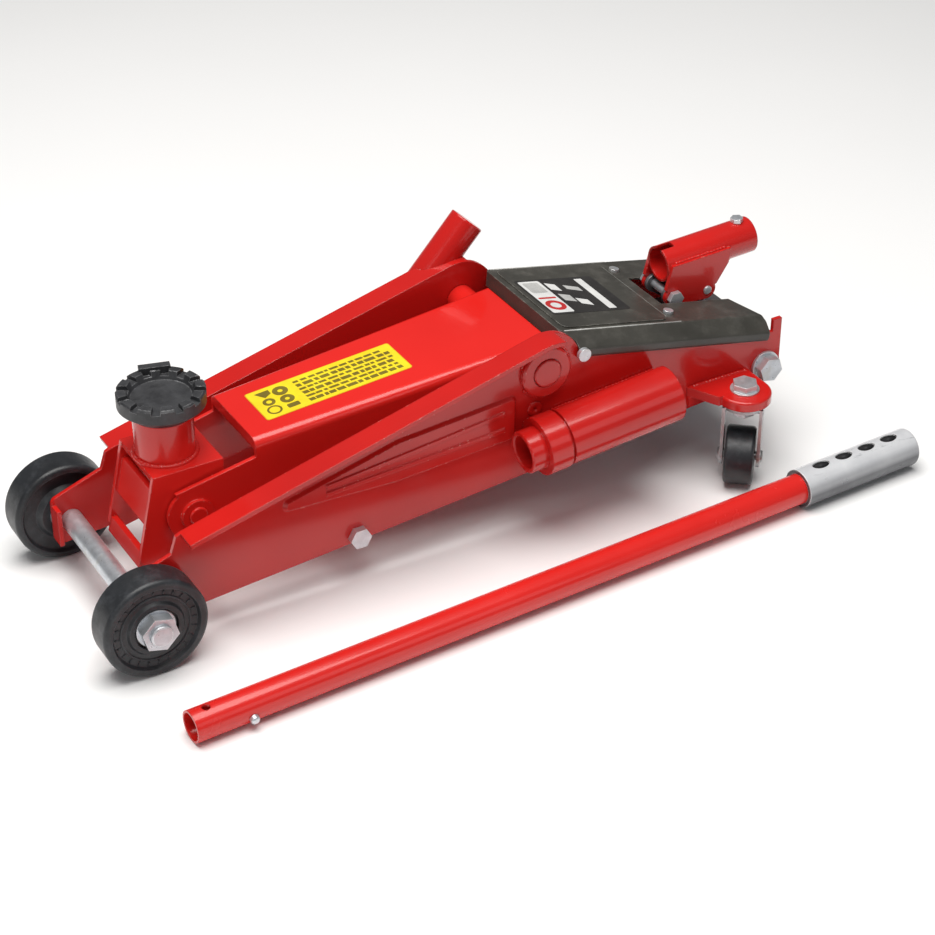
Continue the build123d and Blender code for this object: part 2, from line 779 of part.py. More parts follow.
with BuildPart() as pump_sleeve:
    with BuildSketch(Plane.XY.offset(BLOCK_TOP - 22)):
        with Locations((PLUNGER_X, 0)):
            Circle(10)
            Circle(PLUNGER_R + FIT, mode=Mode.SUBTRACT)
    extrude(amount=22)
    with BuildSketch(Plane.XY.offset(BLOCK_TOP)):
        with Locations((PLUNGER_X, 0)):
            Circle(11)
            Circle(PLUNGER_R + FIT, mode=Mode.SUBTRACT)
    extrude(amount=2)
keep(pump_sleeve, "pump_sleeve")

PLUNGER_HEAD = 132
with BuildPart() as pump_plunger:
    with BuildSketch(Plane.XY.offset(78)):
        with Locations((PLUNGER_X, 0)):
            Circle(PLUNGER_R)
    extrude(amount=PLUNGER_HEAD - 78)
    with BuildSketch(Plane.XY.offset(PLUNGER_HEAD)):
        with Locations((PLUNGER_X, 0)):
            Circle(11)
    extrude(amount=ROLLER[1] - ROLLER_R - 0.3 - PLUNGER_HEAD)
    chamfer(pump_plunger.edges().filter_by(GeomType.CIRCLE).group_by(Axis.Z)[-1], 1)
keep(pump_plunger, "pump_plunger")

with BuildPart() as plunger_spring:
    with BuildSketch(Plane.XZ):
        for winding in range(5):
            with Locations((PLUNGER_X + 9, BLOCK_TOP + 3.2 + 3.4 * winding)):
                Circle(1)
        with Locations((PLUNGER_X + 8.9, BLOCK_TOP + 10)):
            Rectangle(0.8, 15.4)
    revolve(axis=Axis((PLUNGER_X, 0, 0), (0, 0, 1)))
keep(plunger_spring, "plunger_spring")

with BuildPart() as release_valve:
    with BuildSketch(Plane.YZ.offset(BLOCK_REAR_X + 18)):
        with Locations((0, VALVE_Z)):
            Circle(5)
    extrude(amount=-30)
    with BuildSketch(Plane.YZ.offset(BLOCK_REAR_X - 3)):
        with Locations((0, VALVE_Z)):
            Circle(9)
    extrude(amount=-7)
    with BuildSketch(Plane.XY.offset(VALVE_Z - 2.5)):
        with Locations((BLOCK_REAR_X - 8, 0)):
            Rectangle(4, 30)
    extrude(amount=5)
keep(release_valve, "release_valve")

# ---- ram ------------------------------------------------------------------------------
YOKE_HALF = 17
YOKE_REAR = LEVER[0] - YOKE_HALF
with BuildPart() as ram_rod:
    with BuildSketch(ACROSS.offset(YOKE_REAR)):
        Circle(RAM_ROD_R)
    extrude(amount=-118)
    with BuildSketch(ACROSS.offset(YOKE_REAR - 118)):
        Circle(RAM_BORE_R - FIT)
    extrude(amount=-14)
keep(ram_rod, "ram_rod")

# the lever pin rises and falls in the yoke's upright slot as the arm turns
pin_low = PIVOT[1] - LEVER_R
SLOT_PLAY = 1
slot_height = LEVER[1] - pin_low + 2 * (LEVER_PIN_R + SLOT_PLAY)
with BuildPart() as ram_yoke:
    with BuildSketch(side_plane(18)) as yoke_side:
        with Locations((LEVER[0], RAM_Z)):
            Rectangle(2 * YOKE_HALF, 44)
        fillet(yoke_side.vertices(), 6)
        with Locations((LEVER[0], (LEVER[1] + pin_low) / 2)):
            SlotOverall(slot_height, 2 * (LEVER_PIN_R + SLOT_PLAY), rotation=90, mode=Mode.SUBTRACT)
    extrude(amount=36)
    for s in SIDES.values():
        with BuildSketch(Plane.XY.offset(RAM_Z - SPRING_DROP - 2)):
            with Locations((LEVER[0] - 9, s * 29)):
                Rectangle(8, 24)
            with Locations((LEVER[0] - 9, s * SPRING_Y)):
                Circle(2, mode=Mode.SUBTRACT)
        extrude(amount=4)
keep(ram_yoke, "ram_yoke")

spring_rear = BLOCK_FRONT_X + 12
spring_front = LEVER[0] - 16
coils = 30
coil_pitch = (spring_front - spring_rear - 12) / coils
with BuildPart() as return_springs:
    for s in SIDES.values():
        spring_axis = Plane(
            origin=(0, s * SPRING_Y, RAM_Z - SPRING_DROP), x_dir=(1, 0, 0), z_dir=(0, -1, 0)
        )
        with BuildSketch(spring_axis):
            with Locations(((spring_rear + spring_front) / 2, 4)):
                Rectangle(spring_front - spring_rear - 12, 1.6)
            for winding in range(coils):
                with Locations((spring_rear + 6 + coil_pitch * (winding + 0.5), 4.4)):
                    Circle(1.2)
        revolve(axis=Axis((0, s * SPRING_Y, RAM_Z - SPRING_DROP), (1, 0, 0)))
keep(return_springs, "return_springs")

# ---- lift arm -------------------------------------------------------------------------
with BuildPart() as lift_arm:
    with BuildSketch(side_plane(70)):
        with BuildLine():
            Polyline(
                (ARM_FRONT_X, arm_top(ARM_FRONT_X)),
                (ARM_REAR_X, arm_top(ARM_REAR_X)),
                (-402, 158),
                (LEVER[0] - 13.5, LEVER[1] + 6),
                LEVER,
                (LEVER[0] + 4, LEVER[1] - 13),
                (-330, 98),
                (-112, 80),
                around(HEAD, 25, 228),
                HEAD,
                (-52, 115),
                (ARM_FRONT_X, 130.5),
                close=True,
            )
        make_face()
        with Locations(LEVER):
            Circle(14)
        with Locations(HEAD):
            Circle(25)
        with Locations(PIVOT):
            Circle(13)
    extrude(amount=140)
    with BuildSketch(Plane.XY.offset(40)):
        with BuildLine():
            Polyline(
                (-30, arm_half(-30)),
                (-440, arm_half(-440)),
                (-440, -arm_half(-440)),
                (-30, -arm_half(-30)),
                close=True,
            )
        make_face()
    extrude(amount=140, mode=Mode.INTERSECT)
    fillet(lift_arm.edges().filter_by(lambda e: e.length > 200 and e.center().Z > 145), 8)
    # the hollow under the top face, open to the front, the rear and below
    with BuildSketch(Plane.XY.offset(40)):
        with BuildLine():
            Polyline(
                (-30, arm_half(-30) - ARM_T),
                (-440, arm_half(-440) - ARM_T),
                (-440, ARM_T - arm_half(-440)),
                (-30, ARM_T - arm_half(-30)),
                close=True,
            )
        make_face()
    lip_x = ARM_FRONT_X - ARM_T
    hollow_top = extrude(amount=160, mode=Mode.PRIVATE)
    with BuildSketch(side_plane(70)):
        with BuildLine():
            Polyline(
                (-20, 40),
                (-20, arm_top(ARM_FRONT_X) - 10),
                (lip_x, arm_top(ARM_FRONT_X) - 10),
                (lip_x, arm_top(lip_x) - ARM_T),
                (-460, arm_top(-460) - ARM_T),
                (-460, 40),
                close=True,
            )
        make_face()
    hollow_side = extrude(amount=140, mode=Mode.PRIVATE)
    add(hollow_top & hollow_side, mode=Mode.SUBTRACT)
    # hub tube, and a raised ring on each web round the head pin
    with BuildSketch(side_plane(PLATE_IN - 0.5)):
        with Locations(PIVOT):
            Circle(13)
    extrude(amount=2 * PLATE_IN - 1)
    for s in SIDES.values():
        with BuildSketch(side_plane(s * (arm_half(HEAD[0]) - 1))):
            with Locations(HEAD):
                Circle(14)
        extrude(amount=-s * 4)
    with BuildSketch(side_plane(PLATE_IN)):
        with Locations(PIVOT):
            Circle(PIVOT_R + FIT)
        with Locations(HEAD):
            Circle(HEAD_PIN_R)
        with Locations(LEVER):
            Circle(LEVER_PIN_R)
    extrude(amount=2 * PLATE_IN, mode=Mode.SUBTRACT)
keep(lift_arm, "lift_arm")

LEVER_PIN_HALF = 58
with BuildPart() as lever_pin:
    with BuildSketch(side_plane(LEVER_PIN_HALF)):
        with Locations(LEVER):
            Circle(LEVER_PIN_R)
    extrude(amount=2 * LEVER_PIN_HALF)
keep(lever_pin, "lever_pin")

HEAD_PIN_HALF = 45.5
with BuildPart() as head_pin:
    with BuildSketch(side_plane(HEAD_PIN_HALF)):
        with Locations(HEAD):
            Circle(HEAD_PIN_R)
    extrude(amount=2 * HEAD_PIN_HALF)
    chamfer(head_pin.edges().filter_by(GeomType.CIRCLE), 1)
keep(head_pin, "head_pin")

# ---- head: bracket, link pin, links, saddle -------------------------------------------
HEAD_HALF = 34
HEAD_TOP = 133
HEAD_FRONT = (-36, HEAD_TOP)  # upper front corner of the cheeks
HEAD_NOSE = (-19, 58)  # lower front corner
nose_slope = (HEAD_NOSE[0] - HEAD_FRONT[0]) / (HEAD_FRONT[1] - HEAD_NOSE[1])


def nose_x(z):
    """X of the bracket's sloping front at a height."""
    return HEAD_FRONT[0] + nose_slope * (HEAD_TOP - z)


with BuildPart() as saddle_bracket:
    for s in SIDES.values():
        with BuildSketch(side_plane(s * (HEAD_HALF - 4))):
            with BuildLine():
                Polyline(
                    HEAD_FRONT,
                    HEAD_NOSE,
                    (-24, 49),
                    LINK_FRONT,
                    (-84, 76),
                    (-98, 108),
                    (-98, HEAD_TOP),
                    close=True,
                )
            make_face()
            with Locations(LINK_FRONT):
                Circle(10)
        extrude(amount=-s * 4)
    with BuildSketch(Plane.XY.offset(HEAD_TOP - 5)):
        with Locations(((HEAD_FRONT[0] - 98) / 2, 0)):
            Rectangle(98 + HEAD_FRONT[0], 2 * HEAD_HALF)
    extrude(amount=5)
    # front plate and lower cross bar, with an opening between them
    for high, low, inset in ((118, 86, 3), (64, 50, 1)):
        with BuildSketch(side_plane(HEAD_HALF - 2)):
            with BuildLine():
                Polyline(
                    (nose_x(high) - inset, high),
                    (nose_x(low) - inset, low),
                    (nose_x(low) - inset - 5, low),
                    (nose_x(high) - inset - 5, high),
                    close=True,
                )
            make_face()
        extrude(amount=2 * HEAD_HALF - 4)
    # post that carries the saddle
    with BuildSketch(Plane.XY.offset(HEAD_TOP)):
        with Locations((SADDLE_X, 0)):
            Circle(POST_R)
    extrude(amount=SADDLE_BOTTOM - 0.3 - HEAD_TOP)
    fillet(saddle_bracket.edges().filter_by(GeomType.CIRCLE).group_by(Axis.Z)[-1], 2)
    with Locations((SADDLE_X, 0, SADDLE_BOTTOM)):
        Hole(STEM_R + FIT, depth=60)
    with BuildSketch(side_plane(HEAD_HALF)):
        with Locations(HEAD):
            Circle(HEAD_PIN_R + FIT)
        with Locations(LINK_FRONT):
            Circle(LINK_PIN_R)
    extrude(amount=2 * HEAD_HALF, mode=Mode.SUBTRACT)
keep(saddle_bracket, "saddle_bracket")

LINK_PIN_HALF = LINK_IN + LINK_T + 3
with BuildPart() as link_pin:
    with BuildSketch(side_plane(LINK_PIN_HALF)):
        with Locations(LINK_FRONT):
            Circle(LINK_PIN_R)
    extrude(amount=2 * LINK_PIN_HALF)
    for s in SIDES.values():
        for start in (LINK_IN - 2.3, LINK_IN + LINK_T + 0.3):
            with BuildSketch(side_plane(s * start)):
                with Locations(LINK_FRONT):
                    Circle(LINK_PIN_R + 2)
            extrude(amount=-s * 2)
keep(link_pin, "link_pin")

for side, s in SIDES.items():
    with BuildPart() as link:
        with BuildSketch(side_plane(s * LINK_IN)):
            with BuildLine():
                Line(LINK_REAR, LINK_FRONT)
            trace(line_width=15)
            with Locations(LINK_REAR, LINK_FRONT):
                Circle(10)
            with Locations(LINK_REAR, LINK_FRONT):
                Circle(LINK_PIN_R + FIT, mode=Mode.SUBTRACT)
        extrude(amount=-s * LINK_T)
    keep(link, f"{side}_link")

PAD_R = 25
PAD_Z = SADDLE_TOP - 7
TEETH = 12
with BuildPart() as saddle:
    with BuildSketch(Plane.XZ):
        with BuildLine():
            Polyline(
                (SADDLE_X, SADDLE_BOTTOM),
                (SADDLE_X + 27, SADDLE_BOTTOM),
                (SADDLE_X + 33, SADDLE_BOTTOM + 7),
                (SADDLE_X + SADDLE_R, SADDLE_BOTTOM + 8),
                (SADDLE_X + SADDLE_R, SADDLE_TOP - 1.5),
                (SADDLE_X + SADDLE_R - 1.5, SADDLE_TOP),
                (SADDLE_X + PAD_R + 3, SADDLE_TOP),
                (SADDLE_X + PAD_R, PAD_Z),
                (SADDLE_X, PAD_Z),
                close=True,
            )
        make_face()
    revolve(axis=Axis((SADDLE_X, 0, 0), (0, 0, 1)))
    with BuildSketch(Plane.XY.offset(SADDLE_TOP - 4)):
        with Locations((SADDLE_X, 0)):
            with PolarLocations(SADDLE_R, TEETH):
                Rectangle(24, 7)
    extrude(amount=5, mode=Mode.SUBTRACT)
    with BuildSketch(Plane.XY.offset(SADDLE_TOP - 6)):
        with Locations((SADDLE_X, 0)):
            with PolarLocations(SADDLE_R - 4, 1, start_angle=-105):
                Rectangle(7, 26)
    extrude(amount=9)
    with BuildSketch(Plane.XY.offset(SADDLE_BOTTOM)):
        with Locations((SADDLE_X, 0)):
            Circle(STEM_R)
    extrude(amount=108.5 - SADDLE_BOTTOM)
    with BuildSketch(Plane.XY.offset(111)):
        with Locations((SADDLE_X, 0)):
            Circle(STEM_R + 1)
            Circle(STEM_R - 1.5, mode=Mode.SUBTRACT)
    extrude(amount=2.2, mode=Mode.SUBTRACT)
keep(saddle, "saddle")

with BuildPart() as saddle_clip:
    with BuildSketch(Plane.XY.offset(111.1)):
        with Locations((SADDLE_X, 0)):
            Circle(STEM_R + 3.5)
            Circle(STEM_R - 1.4, mode=Mode.SUBTRACT)
            with Locations((0, STEM_R + 2)):
                Rectangle(5, 10, mode=Mode.SUBTRACT)
    extrude(amount=2)
keep(saddle_clip, "saddle_clip")

# ---- pump socket ----------------------------------------------------------------------
socket_tilt = radians(SOCKET_TILT)
socket_plane = Plane(
    origin=(SOCKET_FRONT[0], 0, SOCKET_FRONT[1]),
    x_dir=(0, 1, 0),
    z_dir=(-cos(socket_tilt), 0, sin(socket_tilt)),
)
CHEEK_IN = 15.1
CHEEK_OUT = 19.3
with BuildPart() as handle_socket:
    with BuildSketch(socket_plane):
        Circle(SOCKET_R)
    extrude(amount=SOCKET_L)
    for s in SIDES.values():
        with BuildSketch(side_plane(s * CHEEK_IN)):
            with BuildLine():
                Polyline(
                    SOCKET_PIVOT,
                    (-538, 158),
                    (-544, 181),
                    (-606, 184),
                    (-604, 170),
                    (-592, 152),
                    ROLLER,
                    (ROLLER[0] + 2, ROLLER[1] - 9),
                    (SOCKET_PIVOT[0] - 2, SOCKET_PIVOT[1] - 9),
                    close=True,
                )
            make_face()
            with Locations(SOCKET_PIVOT, ROLLER):
                Circle(9)
        extrude(amount=-s * (CHEEK_OUT - CHEEK_IN))
    with BuildSketch(side_plane(3)):
        with BuildLine():
            Polyline((-590, 162), (-604, 157), (-630, 166), (-630, 174), (-590, 170), close=True)
        make_face()
    extrude(amount=6)
    with BuildSketch(socket_plane):
        Circle(SOCKET_BORE_R)
    extrude(amount=SOCKET_L, mode=Mode.SUBTRACT)
    with BuildSketch(socket_plane.offset(-1)):
        with Locations((0, -SOCKET_R)):
            Rectangle(9, 12)
    extrude(amount=15, mode=Mode.SUBTRACT)
    with BuildSketch(side_plane(CHEEK_OUT)):
        with Locations(SOCKET_PIVOT):
            Circle(4 + FIT)
        with Locations(ROLLER):
            Circle(4)
    extrude(amount=2 * CHEEK_OUT, mode=Mode.SUBTRACT)
    screw_plane = Plane(
        origin=(SOCKET_FRONT[0] - 84, 0, SOCKET_FRONT[1] + 84 * tan(socket_tilt)),
        x_dir=(0, 1, 0),
        z_dir=(sin(socket_tilt), 0, cos(socket_tilt)),
    )
    with BuildSketch(screw_plane):
        Circle(4)
    extrude(amount=30, mode=Mode.SUBTRACT)
keep(handle_socket, "handle_socket")

with BuildPart() as clamp_screw:
    with BuildSketch(screw_plane.offset(SOCKET_BORE_R + 0.3)):
        Circle(4)
    extrude(amount=4)
    with BuildSketch(screw_plane.offset(SOCKET_R)):
        RegularPolygon(5, 6, major_radius=False)
    extrude(amount=4)
keep(clamp_screw, "clamp_screw")

with BuildPart() as socket_pivot_bolt:
    with BuildSketch(side_plane(CHEEK_OUT + 0.3)):
        with Locations(SOCKET_PIVOT):
            Circle(4)
    extrude(amount=2 * CHEEK_OUT + 0.6)
    for s in SIDES.values():
        with BuildSketch(side_plane(s * (CHEEK_OUT + 0.3))):
            with Locations(SOCKET_PIVOT):
                RegularPolygon(6.5, 6, major_radius=False)
        extrude(amount=-s * 5)
keep(socket_pivot_bolt, "socket_pivot_bolt")

with BuildPart() as roller_pin:
    with BuildSketch(side_plane(CHEEK_OUT + 2)):
        with Locations(ROLLER):
            Circle(4)
    extrude(amount=2 * CHEEK_OUT + 4)
    chamfer(roller_pin.edges().filter_by(GeomType.CIRCLE), 0.8)
keep(roller_pin, "roller_pin")

with BuildPart() as pump_roller:
    with BuildSketch(side_plane(10.8)):
        with Locations(ROLLER):
            Circle(ROLLER_R)
            Circle(4 + FIT, mode=Mode.SUBTRACT)
    extrude(amount=21.6)
keep(pump_roller, "pump_roller")

# ---- loose handle ---------------------------------------------------------------------
# it lies on the end of its tube and on the front edge of its grip
GRIP_START = HANDLE_L + 5 - GRIP_L
rise = (GRIP_R - HANDLE_R) / GRIP_START
handle_turn = radians(HANDLE_TURN)
handle_plane = Plane(
    origin=(*HANDLE_FRONT, HANDLE_R),
    x_dir=(sin(handle_turn), -cos(handle_turn), 0),
    z_dir=(-cos(handle_turn), -sin(handle_turn), rise),
)
BUTTON_S = 48  # along the tube from its open end
BUTTON_R = 4
BUTTON_DROP = 15  # the button looks to the left and this many degrees down
button_axis = Vector(-cos(radians(BUTTON_DROP)), -sin(radians(BUTTON_DROP)), 0)
button_plane = Plane(
    origin=handle_plane.from_local_coords((0, 0, BUTTON_S)),
    x_dir=handle_plane.z_dir,
    z_dir=handle_plane.from_local_coords(button_axis) - handle_plane.origin,
)
with BuildPart() as handle_tube:
    with BuildSketch(handle_plane):
        Circle(HANDLE_R)
        Circle(HANDLE_BORE_R, mode=Mode.SUBTRACT)
    extrude(amount=HANDLE_L)
    with BuildSketch(button_plane):
        Circle(BUTTON_R)
    extrude(amount=20, mode=Mode.SUBTRACT)
    hole_plane = Plane(
        origin=handle_plane.from_local_coords((0, 0, 14)),
        x_dir=handle_plane.z_dir,
        z_dir=handle_plane.y_dir,
    )
    with BuildSketch(hole_plane):
        Circle(3.5)
    extrude(amount=20, both=True, mode=Mode.SUBTRACT)
keep(handle_tube, "handle_tube")

with BuildPart() as handle_grip:
    with BuildSketch(handle_plane.offset(GRIP_START)):
        Circle(GRIP_R)
    extrude(amount=GRIP_L)
    fillet(handle_grip.edges().filter_by(GeomType.CIRCLE).group_by(Axis.X)[0], 3)
    with BuildSketch(handle_plane.offset(GRIP_START)):
        Circle(HANDLE_R)
    extrude(amount=HANDLE_L - GRIP_START, mode=Mode.SUBTRACT)
    for place in range(4):
        slot_plane = Plane(
            origin=handle_plane.from_local_coords((0, 0, GRIP_START + 24 + 26 * place)),
            x_dir=handle_plane.z_dir,
            z_dir=handle_plane.y_dir,
        )
        for face in (1, -1):
            with BuildSketch(slot_plane.offset(face * (GRIP_R - 1.6))):
                Ellipse(9, 5)
            extrude(amount=face * 4, mode=Mode.SUBTRACT)
keep(handle_grip, "handle_grip")

with BuildPart() as snap_button:
    with BuildSketch(button_plane.offset(8)):
        Circle(BUTTON_R + 1.5)
    extrude(amount=2)
    with BuildSketch(button_plane.offset(10)):
        Circle(BUTTON_R - FIT)
    extrude(amount=8)
    fillet(snap_button.edges().filter_by(GeomType.CIRCLE).filter_by(
        lambda e: (e.center() - button_plane.origin).length > 17), 2.5)
keep(snap_button, "snap_button")

with BuildPart() as button_clip:
    with BuildSketch(button_plane.offset(-9)) as leaf:
        with Locations((12, 0)):
            Rectangle(44, 7)
        fillet(leaf.vertices(), 2)
    extrude(amount=0.8)
    clip_plane = Plane(
        origin=button_plane.origin, x_dir=button_plane.x_dir, z_dir=button_plane.y_dir
    )
    with BuildSketch(clip_plane.offset(-3.5)):
        with BuildLine():
            # local y points against the button's axis
            Polyline((34, 8.2), (34, 9), (33, 9), (-5, -3.0), (-5, -3.8), (-4, -3.8), close=True)
        make_face()
    extrude(amount=7)
keep(button_clip, "button_clip")

# ---- the row's origin, and the files --------------------------------------------------
boxes = [piece.bounding_box() for piece in pieces]
middle_x = (min(b.min.X for b in boxes) + max(b.max.X for b in boxes)) / 2
middle_y = (min(b.min.Y for b in boxes) + max(b.max.Y for b in boxes)) / 2
floor_z = min(b.min.Z for b in boxes)
os.makedirs("parts", exist_ok=True)
for piece in pieces:
    placed = Pos(-middle_x, -middle_y, -floor_z) * piece
    placed.label = piece.label
    export_step(placed, f"parts/{placed.label}.step")
print("row origin in the jack's frame:", middle_x, middle_y, floor_z)
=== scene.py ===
import json
import math
import random

import bmesh
import bpy
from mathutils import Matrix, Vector


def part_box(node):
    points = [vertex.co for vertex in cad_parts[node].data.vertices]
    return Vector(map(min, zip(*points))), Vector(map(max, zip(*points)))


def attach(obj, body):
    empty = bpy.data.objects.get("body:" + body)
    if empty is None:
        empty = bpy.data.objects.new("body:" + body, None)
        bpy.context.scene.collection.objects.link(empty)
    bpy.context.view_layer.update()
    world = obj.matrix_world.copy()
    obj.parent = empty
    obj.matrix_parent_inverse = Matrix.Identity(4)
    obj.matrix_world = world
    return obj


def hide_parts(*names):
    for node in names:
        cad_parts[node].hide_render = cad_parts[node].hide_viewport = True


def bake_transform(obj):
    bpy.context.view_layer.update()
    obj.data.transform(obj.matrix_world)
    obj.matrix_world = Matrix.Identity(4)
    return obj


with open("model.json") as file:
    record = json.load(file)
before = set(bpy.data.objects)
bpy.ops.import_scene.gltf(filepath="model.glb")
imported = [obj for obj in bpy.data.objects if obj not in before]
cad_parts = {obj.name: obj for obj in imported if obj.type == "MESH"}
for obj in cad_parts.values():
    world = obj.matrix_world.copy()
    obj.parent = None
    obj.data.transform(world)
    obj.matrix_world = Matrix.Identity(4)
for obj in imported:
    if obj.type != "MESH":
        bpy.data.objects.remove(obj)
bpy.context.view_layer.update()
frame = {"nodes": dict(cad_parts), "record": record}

# The looks of a hydraulic trolley jack with its loose pump handle. Metres, in the row frame.
MM = 0.001
AXLE = sum(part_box("front_axle"), Vector()) / 2
NODE_SLOT = {row["node"]: row["material_slot"] for row in frame["record"]["subparts"]}
AHEAD, LEFT, UP = Vector((1, 0, 0)), Vector((0, 1, 0)), Vector((0, 0, 1))

# Sizes and places in millimetres, measured from the floor under the middle of the front axle.
AXLE_Z = 45
WHEEL_FACE = 106.5  # outer face of a front wheel, from the middle plane
NUT_FACE = 117.4  # outer face of an axle nut
PLATE_OUT = 74  # outer face of a side plate
ARM_PIVOT = (-378, 153)  # X and Z
BOSS_R = 24.4
LINK_STUD = (-369, 118)  # X and Z
POST_X = -62
POST_R = 25.8
POST_FOOT = 133.4
SLEEVE_FRONT = (-358, 96.3)  # X and Z on the storage sleeve's axis
SLEEVE_TILT = 5.3
SLEEVE_WELD = (-384, -488)  # X where the sleeve's beads start and end
BRACKET_WELD = (-589, -531)
SOCKET_WELD = (-548, -603)
ARM_LABEL = (-144, -280)  # X of the label's front and rear
LABEL_HALF = 23
COVER_PANEL = (-411, -491)
PANEL_HALF = 34
PLATE_RISE = 1.1  # thickness of the raised plate on the cover
BEND_HALF = 62.2  # from the middle plane to the bend along the cover's side
HANDLE_FRONT = (13, 197, 13.75)
HANDLE_TURN = 2.9  # swing of the loose handle in plan, degrees
HANDLE_RISE = 0.00625
SLOT_FIRST = 624  # the grip's first slot, along the handle from its open end
SLOT_STEP = 26
SLOT_COUNT = 4


def at(x, y, z):
    """A point given in millimetres from the floor under the middle of the front axle."""
    return Vector((AXLE.x + x * MM, AXLE.y + y * MM, z * MM))


def land(node, x, y):
    """The highest point of a CAD node's surface above or below a point in plan."""
    hit, point, _, _ = frame["nodes"][node].ray_cast(Vector((x, y, 1)), Vector((0, 0, -1)))
    if not hit:
        raise ValueError(f"nothing of {node} lies under {x:.3f}, {y:.3f}")
    return point


# ---- materials ------------------------------------------------------------------------
class Shade:
    """A material with short calls for the nodes that the finishes share."""

    def __init__(self, name, **sockets):
        self.material = bpy.data.materials.new(name)
        self.material.use_nodes = True
        self.tree = self.material.node_tree
        self.surface = self.tree.nodes["Principled BSDF"]
        for socket, value in sockets.items():
            self.surface.inputs[socket.replace("_", " ")].default_value = value
        self.place = self.node("ShaderNodeTexCoord").outputs["Object"]
        self.geometry = self.node("ShaderNodeNewGeometry")

    def node(self, kind, inputs=(), **settings):
        made = self.tree.nodes.new(kind)
        for name, value in settings.items():
            setattr(made, name, value)
        for key, value in dict(inputs).items():
            if isinstance(value, bpy.types.NodeSocket):
                self.tree.links.new(value, made.inputs[key])
            else:
                made.inputs[key].default_value = value
        return made

    def stretched(self, scale):
        """The object's own coordinates, scaled along each axis."""
        return self.node("ShaderNodeMapping", {0: self.place, 3: scale}).outputs[0]

    def noise(self, scale, detail=3.0, roughness=0.5, along=None):
        place = self.place if along is None else self.stretched(along)
        inputs = {"Vector": place, "Scale": scale, "Detail": detail, "Roughness": roughness}
        return self.node("ShaderNodeTexNoise", inputs).outputs[0]

    def span(self, value, low, high, start=0.0, end=1.0):
        """A value between low and high, brought to between start and end."""
        inputs = {0: value, 1: low, 2: high, 3: start, 4: end}
        return self.node("ShaderNodeMapRange", inputs).outputs[0]

    def math(self, operation, a, b):
        return self.node("ShaderNodeMath", {0: a, 1: b}, operation=operation).outputs[0]

    def mix(self, share, a, b):
        made = self.node("ShaderNodeMix", {0: share, 6: a, 7: b}, data_type="RGBA")
        return made.outputs[2]

    def rounded(self, radius):
        """The normal with its edges rounded off."""
        return self.node("ShaderNodeBevel", {"Radius": radius}, samples=4).outputs[0]

    def edges(self, rounded, low=0.004, high=0.05):
        """1 on an edge and 0 away from it."""
        dot = self.node(
            "ShaderNodeVectorMath",
            {0: rounded, 1: self.geometry.outputs["Normal"]},
            operation="DOT_PRODUCT",
        )
        return self.span(self.math("SUBTRACT", 1.0, dot.outputs["Value"]), low, high)

    def upward(self, low=0.4, high=0.95):
        """1 on a face that looks up and 0 on one that doesn't."""
        parts = self.node("ShaderNodeSeparateXYZ", {0: self.geometry.outputs["Normal"]})
        return self.span(parts.outputs[2], low, high)

    def bump(self, height, distance, strength, normal=None):
        inputs = {"Height": height, "Distance": distance, "Strength": strength}
        if normal is not None:
            inputs["Normal"] = normal
        return self.node("ShaderNodeBump", inputs).outputs[0]

    def done(self, colour, roughness, normal, metallic=None):
        links = {"Base Color": colour, "Roughness": roughness, "Normal": normal}
        if metallic is not None:
            links["Metallic"] = metallic
        for socket, value in links.items():
            self.tree.links.new(value, self.surface.inputs[socket])
        return self.material


def tint(red, green, blue):
    return (red, green, blue, 1.0)


def gloss_paint(name, light, dark, rough=0.17):
    """Sprayed gloss paint: orange peel, uneven depth of colour, and wear on the edges."""
    shade = Shade(name, Coat_Weight=0.35, Coat_Roughness=0.06, Specular_IOR_Level=0.4)
    edge_normal = shade.rounded(1.5 * MM)
    depth = shade.span(shade.noise(7, 3, 0.5), 0.3, 0.7)
    colour = shade.mix(depth, tint(*dark), tint(*light))
    chips = shade.span(shade.noise(210, 6, 0.7), 0.58, 0.66)
    worn = shade.math("MULTIPLY", shade.edges(edge_normal, 0.02, 0.09), chips)
    colour = shade.mix(worn, colour, tint(0.72, 0.3, 0.25))
    specks = shade.span(shade.noise(520, 3, 0.6), 0.76, 0.8)
    colour = shade.mix(specks, colour, tint(0.3, 0.015, 0.012))
    roughness = shade.span(shade.noise(24, 4, 0.6), 0.3, 0.75, rough, rough + 0.1)
    roughness = shade.math("MAXIMUM", roughness, shade.math("MULTIPLY", worn, 0.5))
    normal = shade.bump(shade.noise(22, 2), 1.2 * MM, 0.05, edge_normal)
    normal = shade.bump(shade.noise(560, 2), 0.12 * MM, 0.12, normal)
    return shade.done(colour, roughness, normal)


def satin_paint(name, light, dark, worn_tint):
    """Satin black enamel on sheet metal, rubbed pale along its bends."""
    shade = Shade(name, Specular_IOR_Level=0.55, Coat_Weight=0.12, Coat_Roughness=0.25)
    edge_normal = shade.rounded(1.2 * MM)
    depth = shade.span(shade.noise(14, 5, 0.6), 0.3, 0.7)
    colour = shade.mix(depth, tint(*dark), tint(*light))
    rub = shade.span(shade.noise(90, 5, 0.7), 0.42, 0.62, 0.15, 1)
    worn = shade.math("MULTIPLY", shade.edges(edge_normal), rub)
    colour = shade.mix(worn, colour, tint(*worn_tint))
    dust = shade.math("MULTIPLY", shade.upward(), shade.span(shade.noise(55, 6, 0.7), 0.5, 0.8))
    colour = shade.mix(shade.math("MULTIPLY", dust, 0.35), colour, tint(0.2, 0.19, 0.17))
    roughness = shade.span(shade.noise(70, 5, 0.7), 0.3, 0.75, 0.32, 0.52)
    normal = shade.bump(shade.noise(480, 3), 0.25 * MM, 0.3, edge_normal)
    return shade.done(colour, roughness, normal)


